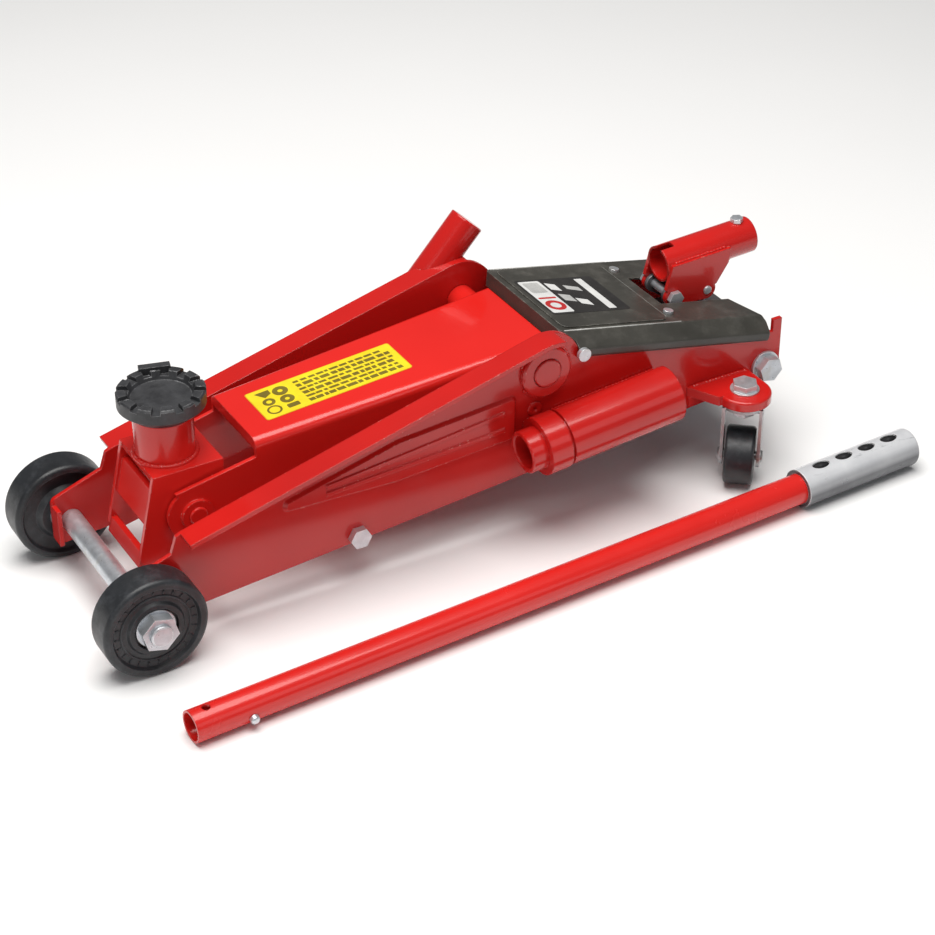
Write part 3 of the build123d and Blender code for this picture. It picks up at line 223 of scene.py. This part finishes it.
def plated_steel(name, light, dark, rough, tarnish=(0.5, 0.42, 0.28), metallic=1.0):
    """Plated or ground steel with fine tool marks, a little tarnish and dark in its pits."""
    shade = Shade(name, Metallic=metallic)
    edge_normal = shade.rounded(0.8 * MM)
    clouds = shade.span(shade.noise(70, 6, 0.65), 0.3, 0.7)
    colour = shade.mix(clouds, tint(*dark), tint(*light))
    stain = shade.span(shade.noise(28, 4, 0.6), 0.56, 0.72)
    colour = shade.mix(shade.math("MULTIPLY", stain, 0.45), colour, tint(*tarnish))
    pits = shade.span(shade.noise(260, 5, 0.75), 0.66, 0.74)
    colour = shade.mix(pits, colour, tint(0.12, 0.11, 0.1))
    colour = shade.mix(shade.edges(edge_normal), colour, tint(0.9, 0.9, 0.91))
    marks = shade.noise(240, 4, 0.7)
    roughness = shade.span(marks, 0.3, 0.7, rough, rough + 0.2)
    normal = shade.bump(marks, 0.15 * MM, 0.3, edge_normal)
    return shade.done(colour, roughness, normal)


def black_iron(name):
    """Cast iron with black oxide, grainy, rubbed to bare metal on its edges."""
    shade = Shade(name, Specular_IOR_Level=0.6)
    edge_normal = shade.rounded(1.0 * MM)
    depth = shade.span(shade.noise(60, 6, 0.7), 0.3, 0.7)
    colour = shade.mix(depth, tint(0.012, 0.012, 0.014), tint(0.045, 0.046, 0.05))
    rub = shade.span(shade.noise(150, 6, 0.7), 0.44, 0.6)
    worn = shade.math("MULTIPLY", shade.edges(edge_normal), rub)
    colour = shade.mix(worn, colour, tint(0.3, 0.3, 0.31))
    metallic = shade.math("MULTIPLY", worn, 0.9)
    roughness = shade.span(shade.noise(110, 5, 0.7), 0.3, 0.7, 0.34, 0.58)
    normal = shade.bump(shade.noise(340, 5, 0.7), 0.5 * MM, 0.45, edge_normal)
    return shade.done(colour, roughness, normal, metallic)


def casting(name):
    """A grey machined casting, grainy, darker and lighter in random patches."""
    shade = Shade(name, Metallic=0.75)
    edge_normal = shade.rounded(1.2 * MM)
    depth = shade.span(shade.noise(45, 6, 0.7), 0.3, 0.7)
    colour = shade.mix(depth, tint(0.1, 0.1, 0.105), tint(0.26, 0.26, 0.27))
    colour = shade.mix(shade.edges(edge_normal), colour, tint(0.45, 0.45, 0.46))
    roughness = shade.span(shade.noise(80, 5, 0.7), 0.3, 0.7, 0.35, 0.6)
    normal = shade.bump(shade.noise(420, 5, 0.7), 0.4 * MM, 0.5, edge_normal)
    return shade.done(colour, roughness, normal)


def moulded(name, light, dark, scuff, rough):
    """Moulded plastic or rubber, dusty, scuffed where it rubs."""
    shade = Shade(name, Specular_IOR_Level=0.5)
    edge_normal = shade.rounded(1.2 * MM)
    depth = shade.span(shade.noise(30, 5, 0.6), 0.3, 0.7)
    colour = shade.mix(depth, tint(*dark), tint(*light))
    rub = shade.span(shade.noise(75, 8, 0.75), 0.5, 0.72)
    colour = shade.mix(shade.math("MULTIPLY", rub, 0.5), colour, tint(*scuff))
    edge = shade.math("MULTIPLY", shade.edges(edge_normal), 0.5)
    colour = shade.mix(edge, colour, tint(*scuff))
    roughness = shade.span(shade.noise(95, 5, 0.7), 0.3, 0.7, rough, rough + 0.2)
    normal = shade.bump(shade.noise(420, 4, 0.6), 0.25 * MM, 0.3, edge_normal)
    return shade.done(colour, roughness, normal)


def silver_sleeve_painted_light(name):
    """Silver lacquer over the grip, scratched along it, with painted light: a pale painted
    highlight on its upper side and dark painted shade on its lower side.
    """
    shade = Shade(name, Metallic=0.3, Coat_Weight=0.4, Coat_Roughness=0.12)
    edge_normal = shade.rounded(1.2 * MM)
    depth = shade.span(shade.noise(26, 5, 0.6), 0.3, 0.7)
    # Lit and shaded copies of the silver: upper is a painted highlight, lower is painted shade,
    # mixed by how far each face looks up.
    upper = shade.mix(depth, tint(0.72, 0.73, 0.76), tint(0.86, 0.87, 0.89))
    lower = shade.mix(depth, tint(0.09, 0.09, 0.1), tint(0.15, 0.155, 0.165))
    colour = shade.mix(shade.upward(0.0, 0.7), lower, upper)
    scratches = shade.span(shade.noise(130, 6, 0.8, (0.15, 1, 1)), 0.6, 0.7)
    colour = shade.mix(shade.math("MULTIPLY", scratches, 0.6), colour, tint(0.24, 0.25, 0.27))
    colour = shade.mix(shade.edges(edge_normal), colour, tint(0.85, 0.86, 0.87))
    roughness = shade.span(shade.noise(80, 5, 0.7), 0.3, 0.7, 0.26, 0.42)
    normal = shade.bump(shade.noise(240, 4, 0.6), 0.2 * MM, 0.25, edge_normal)
    return shade.done(colour, roughness, normal)


def sticker(name, light, dark, rough=0.25):
    """Printed film under a clear coat, a little rubbed and dirty."""
    shade = Shade(name, Coat_Weight=0.4, Coat_Roughness=0.1)
    depth = shade.span(shade.noise(50, 5, 0.7), 0.35, 0.75)
    colour = shade.mix(depth, tint(*dark), tint(*light))
    grime = shade.span(shade.noise(190, 6, 0.75), 0.58, 0.74)
    darker = tint(*(0.55 * channel for channel in dark))
    colour = shade.mix(shade.math("MULTIPLY", grime, 0.5), colour, darker)
    roughness = shade.span(shade.noise(90, 4, 0.6), 0.3, 0.7, rough, rough + 0.15)
    normal = shade.bump(shade.noise(160, 3), 0.2 * MM, 0.12)
    return shade.done(colour, roughness, normal)


FINISHES = {
    # The frame's red is set darker than the arm's red, partly as painted shade for the side plates'
    # shaded faces.
    "frame_red": gloss_paint("frame_red_paint_with_painted_shade", (0.6, 0.014, 0.011), (0.5, 0.011, 0.009)),
    "arm_red": gloss_paint("arm_red_paint", (0.74, 0.02, 0.015), (0.66, 0.016, 0.012)),
    "handle_red": gloss_paint("handle_red_paint", (0.72, 0.02, 0.016), (0.62, 0.016, 0.012), 0.2),
    "cover_black": satin_paint(
        "cover_enamel", (0.062, 0.059, 0.05), (0.034, 0.032, 0.027), (0.28, 0.27, 0.24)
    ),
    "zinc": plated_steel("zinc_plate", (0.74, 0.77, 0.81), (0.52, 0.54, 0.57), 0.26, metallic=0.72),
    "caster_steel": plated_steel("dull_zinc", (0.5, 0.51, 0.52), (0.32, 0.33, 0.34), 0.38),
    "saddle_iron": black_iron("saddle_oxide"),
    "wheel_black": moulded(
        "wheel_polymer", (0.022, 0.024, 0.028), (0.009, 0.01, 0.012), (0.075, 0.08, 0.09), 0.32
    ),
    "cast_body": casting("pump_casting"),
    "bright_steel": plated_steel("ground_steel", (0.8, 0.8, 0.82), (0.62, 0.62, 0.64), 0.14),
    "bronze": plated_steel(
        "bronze_bush", (0.62, 0.43, 0.2), (0.42, 0.28, 0.12), 0.32, tarnish=(0.2, 0.14, 0.08)
    ),
    "spring_steel": plated_steel("spring_wire", (0.32, 0.32, 0.33), (0.14, 0.14, 0.15), 0.3),
    "plug_rubber": moulded(
        "plug_rubber", (0.03, 0.03, 0.03), (0.015, 0.015, 0.015), (0.09, 0.09, 0.09), 0.5
    ),
    "grip_grey": silver_sleeve_painted_light("grip_silver_painted_light"),
}
LABEL_YELLOW = sticker("label_yellow", (0.92, 0.76, 0.02), (0.84, 0.62, 0.015))
LABEL_EDGE = sticker("label_edge", (0.72, 0.46, 0.01), (0.6, 0.36, 0.01))
INK_OLIVE = sticker("ink_olive", (0.23, 0.18, 0.014), (0.15, 0.11, 0.01), 0.3)
INK_BLACK = sticker("ink_black", (0.035, 0.032, 0.03), (0.018, 0.016, 0.015), 0.3)
INK_RED = sticker("ink_red", (0.62, 0.03, 0.03), (0.45, 0.02, 0.02), 0.3)
PANEL_GREY = sticker("panel_grey", (0.62, 0.62, 0.6), (0.42, 0.42, 0.41))
# A pale film laid on as a painted highlight along the cover's bends.
BEND_HIGHLIGHT_PAINT = sticker("painted_bend_highlight", (0.6, 0.6, 0.58), (0.3, 0.3, 0.28), 0.35)
PANEL_WHITE = sticker("panel_white", (0.85, 0.85, 0.83), (0.68, 0.68, 0.67))
SLOT_BLACK = moulded(
    "slot_black", (0.02, 0.02, 0.022), (0.008, 0.008, 0.01), (0.06, 0.06, 0.065), 0.55
)


def finish_nodes():
    """Give every CAD node the material of its slot."""
    for node, slot in NODE_SLOT.items():
        mesh = frame["nodes"][node].data
        mesh.materials.clear()
        mesh.materials.append(FINISHES[slot])


# ---- mesh tools -----------------------------------------------------------------------
def piece(name, bm, material, body, slot=None, smooth=True):
    """A new piece from a bmesh, riding on a body."""
    bmesh.ops.recalc_face_normals(bm, faces=bm.faces)
    mesh = bpy.data.meshes.new(name)
    bm.to_mesh(mesh)
    bm.free()
    for face in mesh.polygons:
        face.use_smooth = smooth
    mesh.materials.append(material)
    made = bpy.data.objects.new(name, mesh)
    bpy.context.scene.collection.objects.link(made)
    if body is not None:
        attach(made, body)
    return made


def in_slot(name, bm, body, slot, smooth=True):
    """A new piece with the finish of a material slot."""
    return piece(name, bm, FINISHES[slot], body, slot, smooth)


def tube(bm, points, radius, sides=10):
    """A closed tube along a line of points. The radius is one number, or one for each point."""
    radii = radius if isinstance(radius, list) else [radius] * len(points)
    across = None
    rings = []
    for i, point in enumerate(points):
        ahead = points[min(i + 1, len(points) - 1)] - points[max(i - 1, 0)]
        ahead.normalize()
        if across is None:
            across = ahead.orthogonal().normalized()
        across = (across - ahead * across.dot(ahead)).normalized()
        side = ahead.cross(across)
        ring = []
        for k in range(sides):
            turn = 2 * math.pi * k / sides
            out = across * math.cos(turn) + side * math.sin(turn)
            ring.append(bm.verts.new(point + radii[i] * out))
        rings.append(ring)
    for low, high in zip(rings, rings[1:]):
        for k in range(sides):
            bm.faces.new((low[k], low[(k + 1) % sides], high[(k + 1) % sides], high[k]))
    bm.faces.new(rings[0])
    bm.faces.new(rings[-1])


def prism(bm, outline, place, low, high):
    """A flat closed plate with an outline in u and v, between two heights over its face."""
    bottom = [bm.verts.new(place(u, v, low)) for u, v in outline]
    top = [bm.verts.new(place(u, v, high)) for u, v in outline]
    count = len(outline)
    for k in range(count):
        bm.faces.new((bottom[k], bottom[(k + 1) % count], top[(k + 1) % count], top[k]))
    bm.faces.new(bottom)
    bm.faces.new(top)


def rounded_box(u0, v0, u1, v1, radius, steps=4):
    """Outline of a rectangle with round corners."""
    corners = ((u1 - radius, v1 - radius, 0), (u0 + radius, v1 - radius, 90))
    corners += ((u0 + radius, v0 + radius, 180), (u1 - radius, v0 + radius, 270))
    outline = []
    for u, v, start in corners:
        for step in range(steps + 1):
            turn = math.radians(start + 90 * step / steps)
            outline.append((u + radius * math.cos(turn), v + radius * math.sin(turn)))
    return outline


def ring_band(bm, u, v, outer, inner, place, low, high, steps=40):
    """A flat ring."""
    rows = []
    for radius, height in ((outer, low), (outer, high), (inner, high), (inner, low)):
        row = []
        for step in range(steps):
            turn = 2 * math.pi * step / steps
            spot = place(u + radius * math.cos(turn), v + radius * math.sin(turn), height)
            row.append(bm.verts.new(spot))
        rows.append(row)
    for a, b in zip(rows, rows[1:] + rows[:1]):
        for k in range(steps):
            bm.faces.new((a[k], a[(k + 1) % steps], b[(k + 1) % steps], b[k]))


def lathe(bm, profile, centre, axis, steps=72):
    """A closed profile of (radius, along) turned round an axis through a centre."""
    axis = axis.normalized()
    across = axis.orthogonal().normalized()
    side = axis.cross(across)
    rings = []
    for radius, along in profile:
        ring = []
        for k in range(steps):
            turn = 2 * math.pi * k / steps
            out = across * math.cos(turn) + side * math.sin(turn)
            ring.append(bm.verts.new(centre + axis * along + out * radius))
        rings.append(ring)
    for a, b in zip(rings, rings[1:] + rings[:1]):
        for k in range(steps):
            bm.faces.new((a[k], a[(k + 1) % steps], b[(k + 1) % steps], b[k]))


def frame_at(origin, u_axis, v_axis, up):
    """Turns u, v and a height in millimetres into a point, from an origin along three axes."""

    def place(u, v, height):
        return origin + (u_axis * u + v_axis * v + up * height) * MM

    return place


def flat_frame(origin, along, across):
    """A frame on a face that looks up, with u along one direction and v across it."""
    u_axis = along.normalized()
    v_axis = (across - u_axis * across.dot(u_axis)).normalized()
    up = u_axis.cross(v_axis)
    if up.z < 0:
        up = -up
    return frame_at(origin, u_axis, v_axis, up)


# ---- camera, light, floor -------------------------------------------------------------
def area_light(name, place, target, size, power, colour):
    data = bpy.data.lights.new(name, "AREA")
    data.shape = "RECTANGLE"
    data.size, data.size_y = size
    data.energy = power
    data.color = colour
    lamp = bpy.data.objects.new(name, data)
    lamp.location = place
    lamp.rotation_euler = (Vector(target) - Vector(place)).to_track_quat("-Z", "Y").to_euler()
    bpy.context.scene.collection.objects.link(lamp)


def make_stage():
    scene = bpy.context.scene
    scene.view_settings.view_transform = "Standard"
    world = bpy.data.worlds.new("studio")
    world.use_nodes = True
    background = world.node_tree.nodes["Background"]
    background.inputs["Color"].default_value = (0.95, 0.97, 1.0, 1)
    background.inputs["Strength"].default_value = 0.12
    scene.world = world

    area_light("key", (0.25, 0.1, 2.3), (0, 0, 0), (2.2, 1.8), 74, (1, 0.985, 0.96))
    area_light("front", (2.0, 0.9, 1.1), (0.1, 0, 0.1), (1.0, 1.0), 4, (1, 1, 1))
    area_light("side", (-0.9, 2.2, 1.3), (-0.1, 0, 0.1), (1.0, 1.0), 3, (0.97, 0.98, 1))

    bm = bmesh.new()
    bmesh.ops.create_grid(bm, x_segments=8, y_segments=8, size=12)
    paper = Shade("floor_paper", Specular_IOR_Level=0.1)
    tone = paper.mix(paper.noise(3, 3), tint(0.93, 0.93, 0.93), tint(0.96, 0.96, 0.96))
    paper_bump = paper.bump(paper.noise(300, 3), 0.1 * MM, 0.05)
    paper_roughness = paper.span(paper.noise(20), 0, 1, 0.8, 0.9)
    floor = piece("floor", bm, paper.done(tone, paper_roughness, paper_bump), None)
    floor.location.z = -0.2 * MM

    camera = bpy.data.objects.new("camera", bpy.data.cameras.new("camera"))
    camera.data.lens = 92.7
    camera.data.sensor_width = 36
    camera.location = at(546, 1552, 1195)
    target = at(-317, 50, 61.5)
    camera.rotation_euler = (target - camera.location).to_track_quat("-Z", "Y").to_euler()
    scene.collection.objects.link(camera)
    scene.camera = camera


# ---- labels ---------------------------------------------------------------------------
def lie_on(node, front_x, rear_x):
    """A flat frame on a node's top, from front to rear, and its length in millimetres."""
    front = land(node, *at(front_x, 0, 0).xy)
    rear = land(node, *at(rear_x, 0, 0).xy)
    return flat_frame(front, rear - front, LEFT), (rear - front).length / MM


def label_lines(ink, length, place, low, high):
    """Rows of uneven slanted blocks, like lines of print."""
    rows = random.Random(7)
    for row in range(6):
        v = 16 - row * 6.3
        u = 42.0
        while u < length - 10:
            run = rows.uniform(3, 10)
            end = min(u + run, length - 5 - rows.uniform(0, 3))
            thick = 4.4 if row in (0, 2, 4) else 3.0
            slant = rows.uniform(0.2, 0.9)
            outline = [(u, v - thick / 2), (end, v - thick / 2)]
            outline += [(end + slant, v + thick / 2), (u + slant, v + thick / 2)]
            prism(ink, outline, place, low, high)
            u = end + rows.uniform(0.9, 2.2)


def arm_label():
    """The yellow label on the lift arm: small generic pictures and rows of plain blocks."""
    place, length = lie_on("lift_arm", *ARM_LABEL)
    border = 0.8
    edge = bmesh.new()
    prism(edge, rounded_box(0, -LABEL_HALF, length, LABEL_HALF, 2.5), place, 0.05, 0.2)
    piece("arm_label_edge", edge, LABEL_EDGE, "arm", "arm_red", smooth=False)
    base = bmesh.new()
    half = LABEL_HALF - border
    prism(base, rounded_box(border, -half, length - border, half, 2), place, 0.2, 0.28)
    piece("arm_label", base, LABEL_YELLOW, "arm", "arm_red", smooth=False)
    ink = bmesh.new()
    low, high = 0.28, 0.36
    # small pictures in the front third: rings, a wedge and a block
    for u, v, outer, inner in ((12, 12, 6.5, 4.6), (13, -1, 5.5, 2.4)):
        ring_band(ink, u, v, outer, inner, place, low, high, 32)
    prism(ink, [(7, -18), (20, -18), (20, -12), (13, -8)], place, low, high)
    for u, v, outer, inner in ((28, -11, 6.8, 2.2), (28, 3, 6.2, 2.0)):
        ring_band(ink, u, v, outer, inner, place, low, high, 32)
    prism(ink, rounded_box(23, 11, 34, 17, 1.2), place, low, high)
    label_lines(ink, length, place, low, high)
    piece("arm_label_ink", ink, INK_OLIVE, "arm", "arm_red", smooth=False)


def cover_plate(place):
    """The raised plate on the cover, with pale lines painted as highlights along the cover's bends
    and the plate's rear edge.
    """
    plate = bmesh.new()
    prism(plate, rounded_box(-5, -58, 106, 58, 7), place, 0.02, PLATE_RISE)
    in_slot("cover_plate", plate, "frame", "cover_black", smooth=False)
    # Thin pale tubes along the bends and the plate's rear edge: painted highlights.
    bend = bmesh.new()
    for side in (-1, 1):
        line = [place(u, side * BEND_HALF, -0.25) for u in (-7, 116)]
        tube(bend, line, 0.75 * MM, 8)
    tube(bend, [place(106.6, v, 0.4) for v in (-52, 52)], 0.4 * MM, 8)
    piece("cover_painted_bend_highlights", bend, BEND_HIGHLIGHT_PAINT, "frame", "cover_black")


def cover_sticker(place, length):
    """A generic panel on the plate: a plain ring, slanted patches and a white bar."""
    base = bmesh.new()
    outline = rounded_box(0, -PANEL_HALF, length, PANEL_HALF, 3)
    prism(base, outline, place, PLATE_RISE, PLATE_RISE + 0.2)
    piece("cover_panel", base, INK_BLACK, "frame", "cover_black", smooth=False)
    low, high, upper = PLATE_RISE + 0.2, PLATE_RISE + 0.28, PLATE_RISE + 0.36
    white = bmesh.new()
    prism(white, rounded_box(2, -31, 24, 31, 2), place, low, high)
    prism(white, rounded_box(61, -30, 69, 30, 1), place, low, high)
    prism(white, [(27, -26), (36, -22), (36, -9), (27, -13)], place, low, high)
    prism(white, [(40, 6), (50, 11), (50, 22), (40, 17)], place, low, high)
    piece("cover_panel_white", white, PANEL_WHITE, "frame", "cover_black", smooth=False)
    grey = bmesh.new()
    prism(grey, rounded_box(5, -28, 21, -8, 2), place, high, upper)
    prism(grey, [(28, -4), (38, 0), (38, 13), (28, 9)], place, low, high)
    prism(grey, [(43, -20), (56, -14), (56, -6), (43, -12)], place, low, high)
    piece("cover_panel_grey", grey, PANEL_GREY, "frame", "cover_black", smooth=False)
    red = bmesh.new()
    ring_band(red, 13, 17, 9.5, 5.0, place, high, upper)
    prism(red, rounded_box(4, 1, 22, 4, 1), place, high, upper)
    piece("cover_panel_red", red, INK_RED, "frame", "cover_black", smooth=False)


def grip_slots():
    """Dark floors in the grip's slots, above and below."""
    turn = math.radians(HANDLE_TURN)
    along = Vector((-math.cos(turn), -math.sin(turn), HANDLE_RISE)).normalized()
    across = Vector((math.sin(turn), -math.cos(turn), 0))
    outline = []
    steps = 28
    for k in range(steps):
        angle = 2 * math.pi * k / steps
        outline.append((8.7 * math.cos(angle), 4.7 * math.sin(angle)))
    for side, face in (("upper", 1), ("lower", -1)):
        up = across.cross(along).normalized()
        up = up * (face if up.z > 0 else -face)
        bm = bmesh.new()
        for number in range(SLOT_COUNT):
            centre = at(*HANDLE_FRONT) + along * (SLOT_FIRST + SLOT_STEP * number) * MM
            place = frame_at(centre, along, across, up)
            prism(bm, outline, place, 15.95, 16.2)
        piece(f"grip_slots_{side}", bm, SLOT_BLACK, "handle", "grip_grey")


# ---- springs --------------------------------------------------------------------------
def helix(start, end, across, radius, turns, steps=16):
    """Points of a helix from start to end."""
    axis = (end - start).normalized()
    across = across.normalized()
    side = axis.cross(across)
    count = int(turns * steps)
    points = []
    for k in range(count + 1):
        turn = 2 * math.pi * k / steps
        out = across * math.cos(turn) + side * math.sin(turn)
        points.append(start.lerp(end, k / count) + out * radius)
    return points


def arc(centre, first, second, radius, start, end, steps=10):
    """Points of an arc in the plane of two directions, with its angles in degrees."""
    points = []
    for k in range(steps + 1):
        turn = math.radians(start + (end - start) * k / steps)
        points.append(centre + (first * math.cos(turn) + second * math.sin(turn)) * radius)
    return points


def return_springs():
    """Two extension springs from the pump body's eyes to the ram's yoke."""
    low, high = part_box("return_springs")
    coil_r = 4.4 * MM
    height = (low.z + high.z) / 2
    inset = 5.6 * MM  # from the springs' outermost side to their axis
    for name, y in (("left", high.y - inset), ("right", low.y + inset)):
        rear = Vector((low.x, y, height))
        front = Vector((high.x, y, height))
        coils = helix(rear, front, UP, coil_r, 34)
        hook_rear = arc(rear - AHEAD * 5 * MM, AHEAD, UP, coil_r, 300, 60)
        hook_front = arc(front + AHEAD * 5 * MM, AHEAD, UP, coil_r, 120, -120)
        bm = bmesh.new()
        tube(bm, hook_rear + coils + hook_front, 1.1 * MM, 8)
        spring = piece(f"{name}_return_spring", bm, FINISHES["spring_steel"], None, "spring_steel")
        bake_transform(spring)
        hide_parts("return_springs")


def plunger_spring():
    """The compression spring round the pump plunger."""
    low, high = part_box("plunger_spring")
    centre = (low + high) / 2
    wire_r = 1.0 * MM
    start = Vector((centre.x, centre.y, low.z + wire_r))
    end = Vector((centre.x, centre.y, high.z - wire_r))
    coils = helix(start, end, AHEAD, 9 * MM, 5)
    bm = bmesh.new()
    tube(bm, coils, wire_r, 8)
    spring = piece("plunger_coil", bm, FINISHES["spring_steel"], None, "spring_steel")
    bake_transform(spring)
    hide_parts("plunger_spring")


# ---- welds ----------------------------------------------------------------------------
def weld(name, points, radius, body, slot, seed):
    """A weld bead: a tube with the scallops of its puddles, a little uneven."""
    uneven = random.Random(seed)
    fine = []
    for a, b in zip(points, points[1:]):
        count = max(1, round((b - a).length / (0.9 * MM)))
        fine += [a.lerp(b, k / count) for k in range(count)]
    fine.append(points[-1])
    travelled = 0.0
    radii = []
    for k, point in enumerate(fine):
        if k:
            travelled += (point - fine[k - 1]).length
        scallop = abs(math.sin(math.pi * travelled / (3.4 * MM)))
        size = radius * (0.72 + 0.28 * scallop) * uneven.uniform(0.94, 1.06)
        radii.append(size)
    radii[0] = radii[-1] = radius * 0.35
    bm = bmesh.new()
    tube(bm, fine, radii, 10)
    in_slot(name, bm, body, slot)


def welds():
    """The beads that hold the sleeve, brackets, bosses, socket cheeks and saddle post."""
    slope = math.tan(math.radians(SLEEVE_TILT))
    front_x, front_z = SLEEVE_FRONT
    for name, rise in (("upper", 13.2), ("lower", -13.2)):
        line = [at(x, 76.2, front_z + (front_x - x) * slope + rise) for x in SLEEVE_WELD]
        weld(f"sleeve_weld_{name}", line, 2.4 * MM, "frame", "frame_red", 11)
    for side, s in (("left", 1), ("right", -1)):
        line = [at(x, s * (PLATE_OUT + 1.6), 91.2) for x in BRACKET_WELD]
        weld(f"{side}_bracket_weld", line, 2.2 * MM, "frame", "frame_red", 12)
        centre = at(ARM_PIVOT[0], s * (PLATE_OUT + 0.3), ARM_PIVOT[1])
        foot = arc(centre, AHEAD, UP, BOSS_R * MM, 20, 330, 48)
        weld(f"{side}_boss_weld", foot, 1.7 * MM, "frame", "frame_red", 13)
        line = [at(x, s * 15.4, 184.2 - (x + 606) * 0.048) for x in SOCKET_WELD]
        weld(f"{side}_socket_weld", line, 1.7 * MM, "socket", NODE_SLOT["handle_socket"], 15)
    post = arc(at(POST_X, 0, POST_FOOT), AHEAD, LEFT, POST_R * MM, 0, 360, 48)
    weld("post_weld", post, 2.4 * MM, "head", "arm_red", 14)


# ---- small turned and moulded detail --------------------------------------------------
def scaled(profile, side=1):
    """A profile of radius and length in millimetres, for one side of the jack."""
    return [(radius * MM, side * along * MM) for radius, along in profile]


def thread_ends():
    """Threads on the ends of the front axle, outside its nuts."""
    profile = [(7.6, NUT_FACE + 0.1)]
    for number in range(3):
        profile += [(9.75, NUT_FACE + 0.6 + number), (9.3, NUT_FACE + 1.1 + number)]
    profile += [(7.6, NUT_FACE + 3.5)]
    bm = bmesh.new()
    for side in (1, -1):
        lathe(bm, scaled(profile, side), at(0, 0, AXLE_Z), LEFT, 48)
    in_slot("axle_threads", bm, "frame", "zinc")


def wheel_moulding():
    """A raised ring and short ribs moulded on the outer face of each front wheel."""
    ring = [(28.6, -0.4), (29.0, 0.8), (30.6, 0.8), (31, -0.4)]
    rib = [(31.6, -0.5), (35.2, -0.5), (35.2, 0.5), (31.6, 0.5)]
    ribs = 24
    for side, s in (("left", 1), ("right", -1)):
        out = LEFT * s
        hub = at(0, s * WHEEL_FACE, AXLE_Z)
        bm = bmesh.new()
        lathe(bm, scaled(ring), hub, out)
        for number in range(ribs):
            turn = 2 * math.pi * number / ribs
            radial = AHEAD * math.cos(turn) + UP * math.sin(turn)
            prism(bm, rib, frame_at(hub, radial, out.cross(radial), out), -0.3, 0.6)
        in_slot(f"{side}_wheel_moulding", bm, f"{side}_wheel", "wheel_black")


def stud_caps():
    """Painted caps over the ends of the levelling links' studs."""
    profile = [(0.2, -0.3), (7.2, -0.3), (7.2, 0.5), (6.2, 1.1), (0.2, 1.1)]
    bm = bmesh.new()
    for s in (1, -1):
        foot = at(LINK_STUD[0], s * PLATE_OUT, LINK_STUD[1])
        lathe(bm, scaled(profile), foot, LEFT * s, 40)
    in_slot("stud_caps", bm, "frame", "frame_red")


finish_nodes()
make_stage()
arm_label()
cover_place, panel_length = lie_on("unit_cover", *COVER_PANEL)
cover_plate(cover_place)
cover_sticker(cover_place, panel_length)
grip_slots()
welds()
thread_ends()
wheel_moulding()
stud_caps()
return_springs()
plunger_spring()
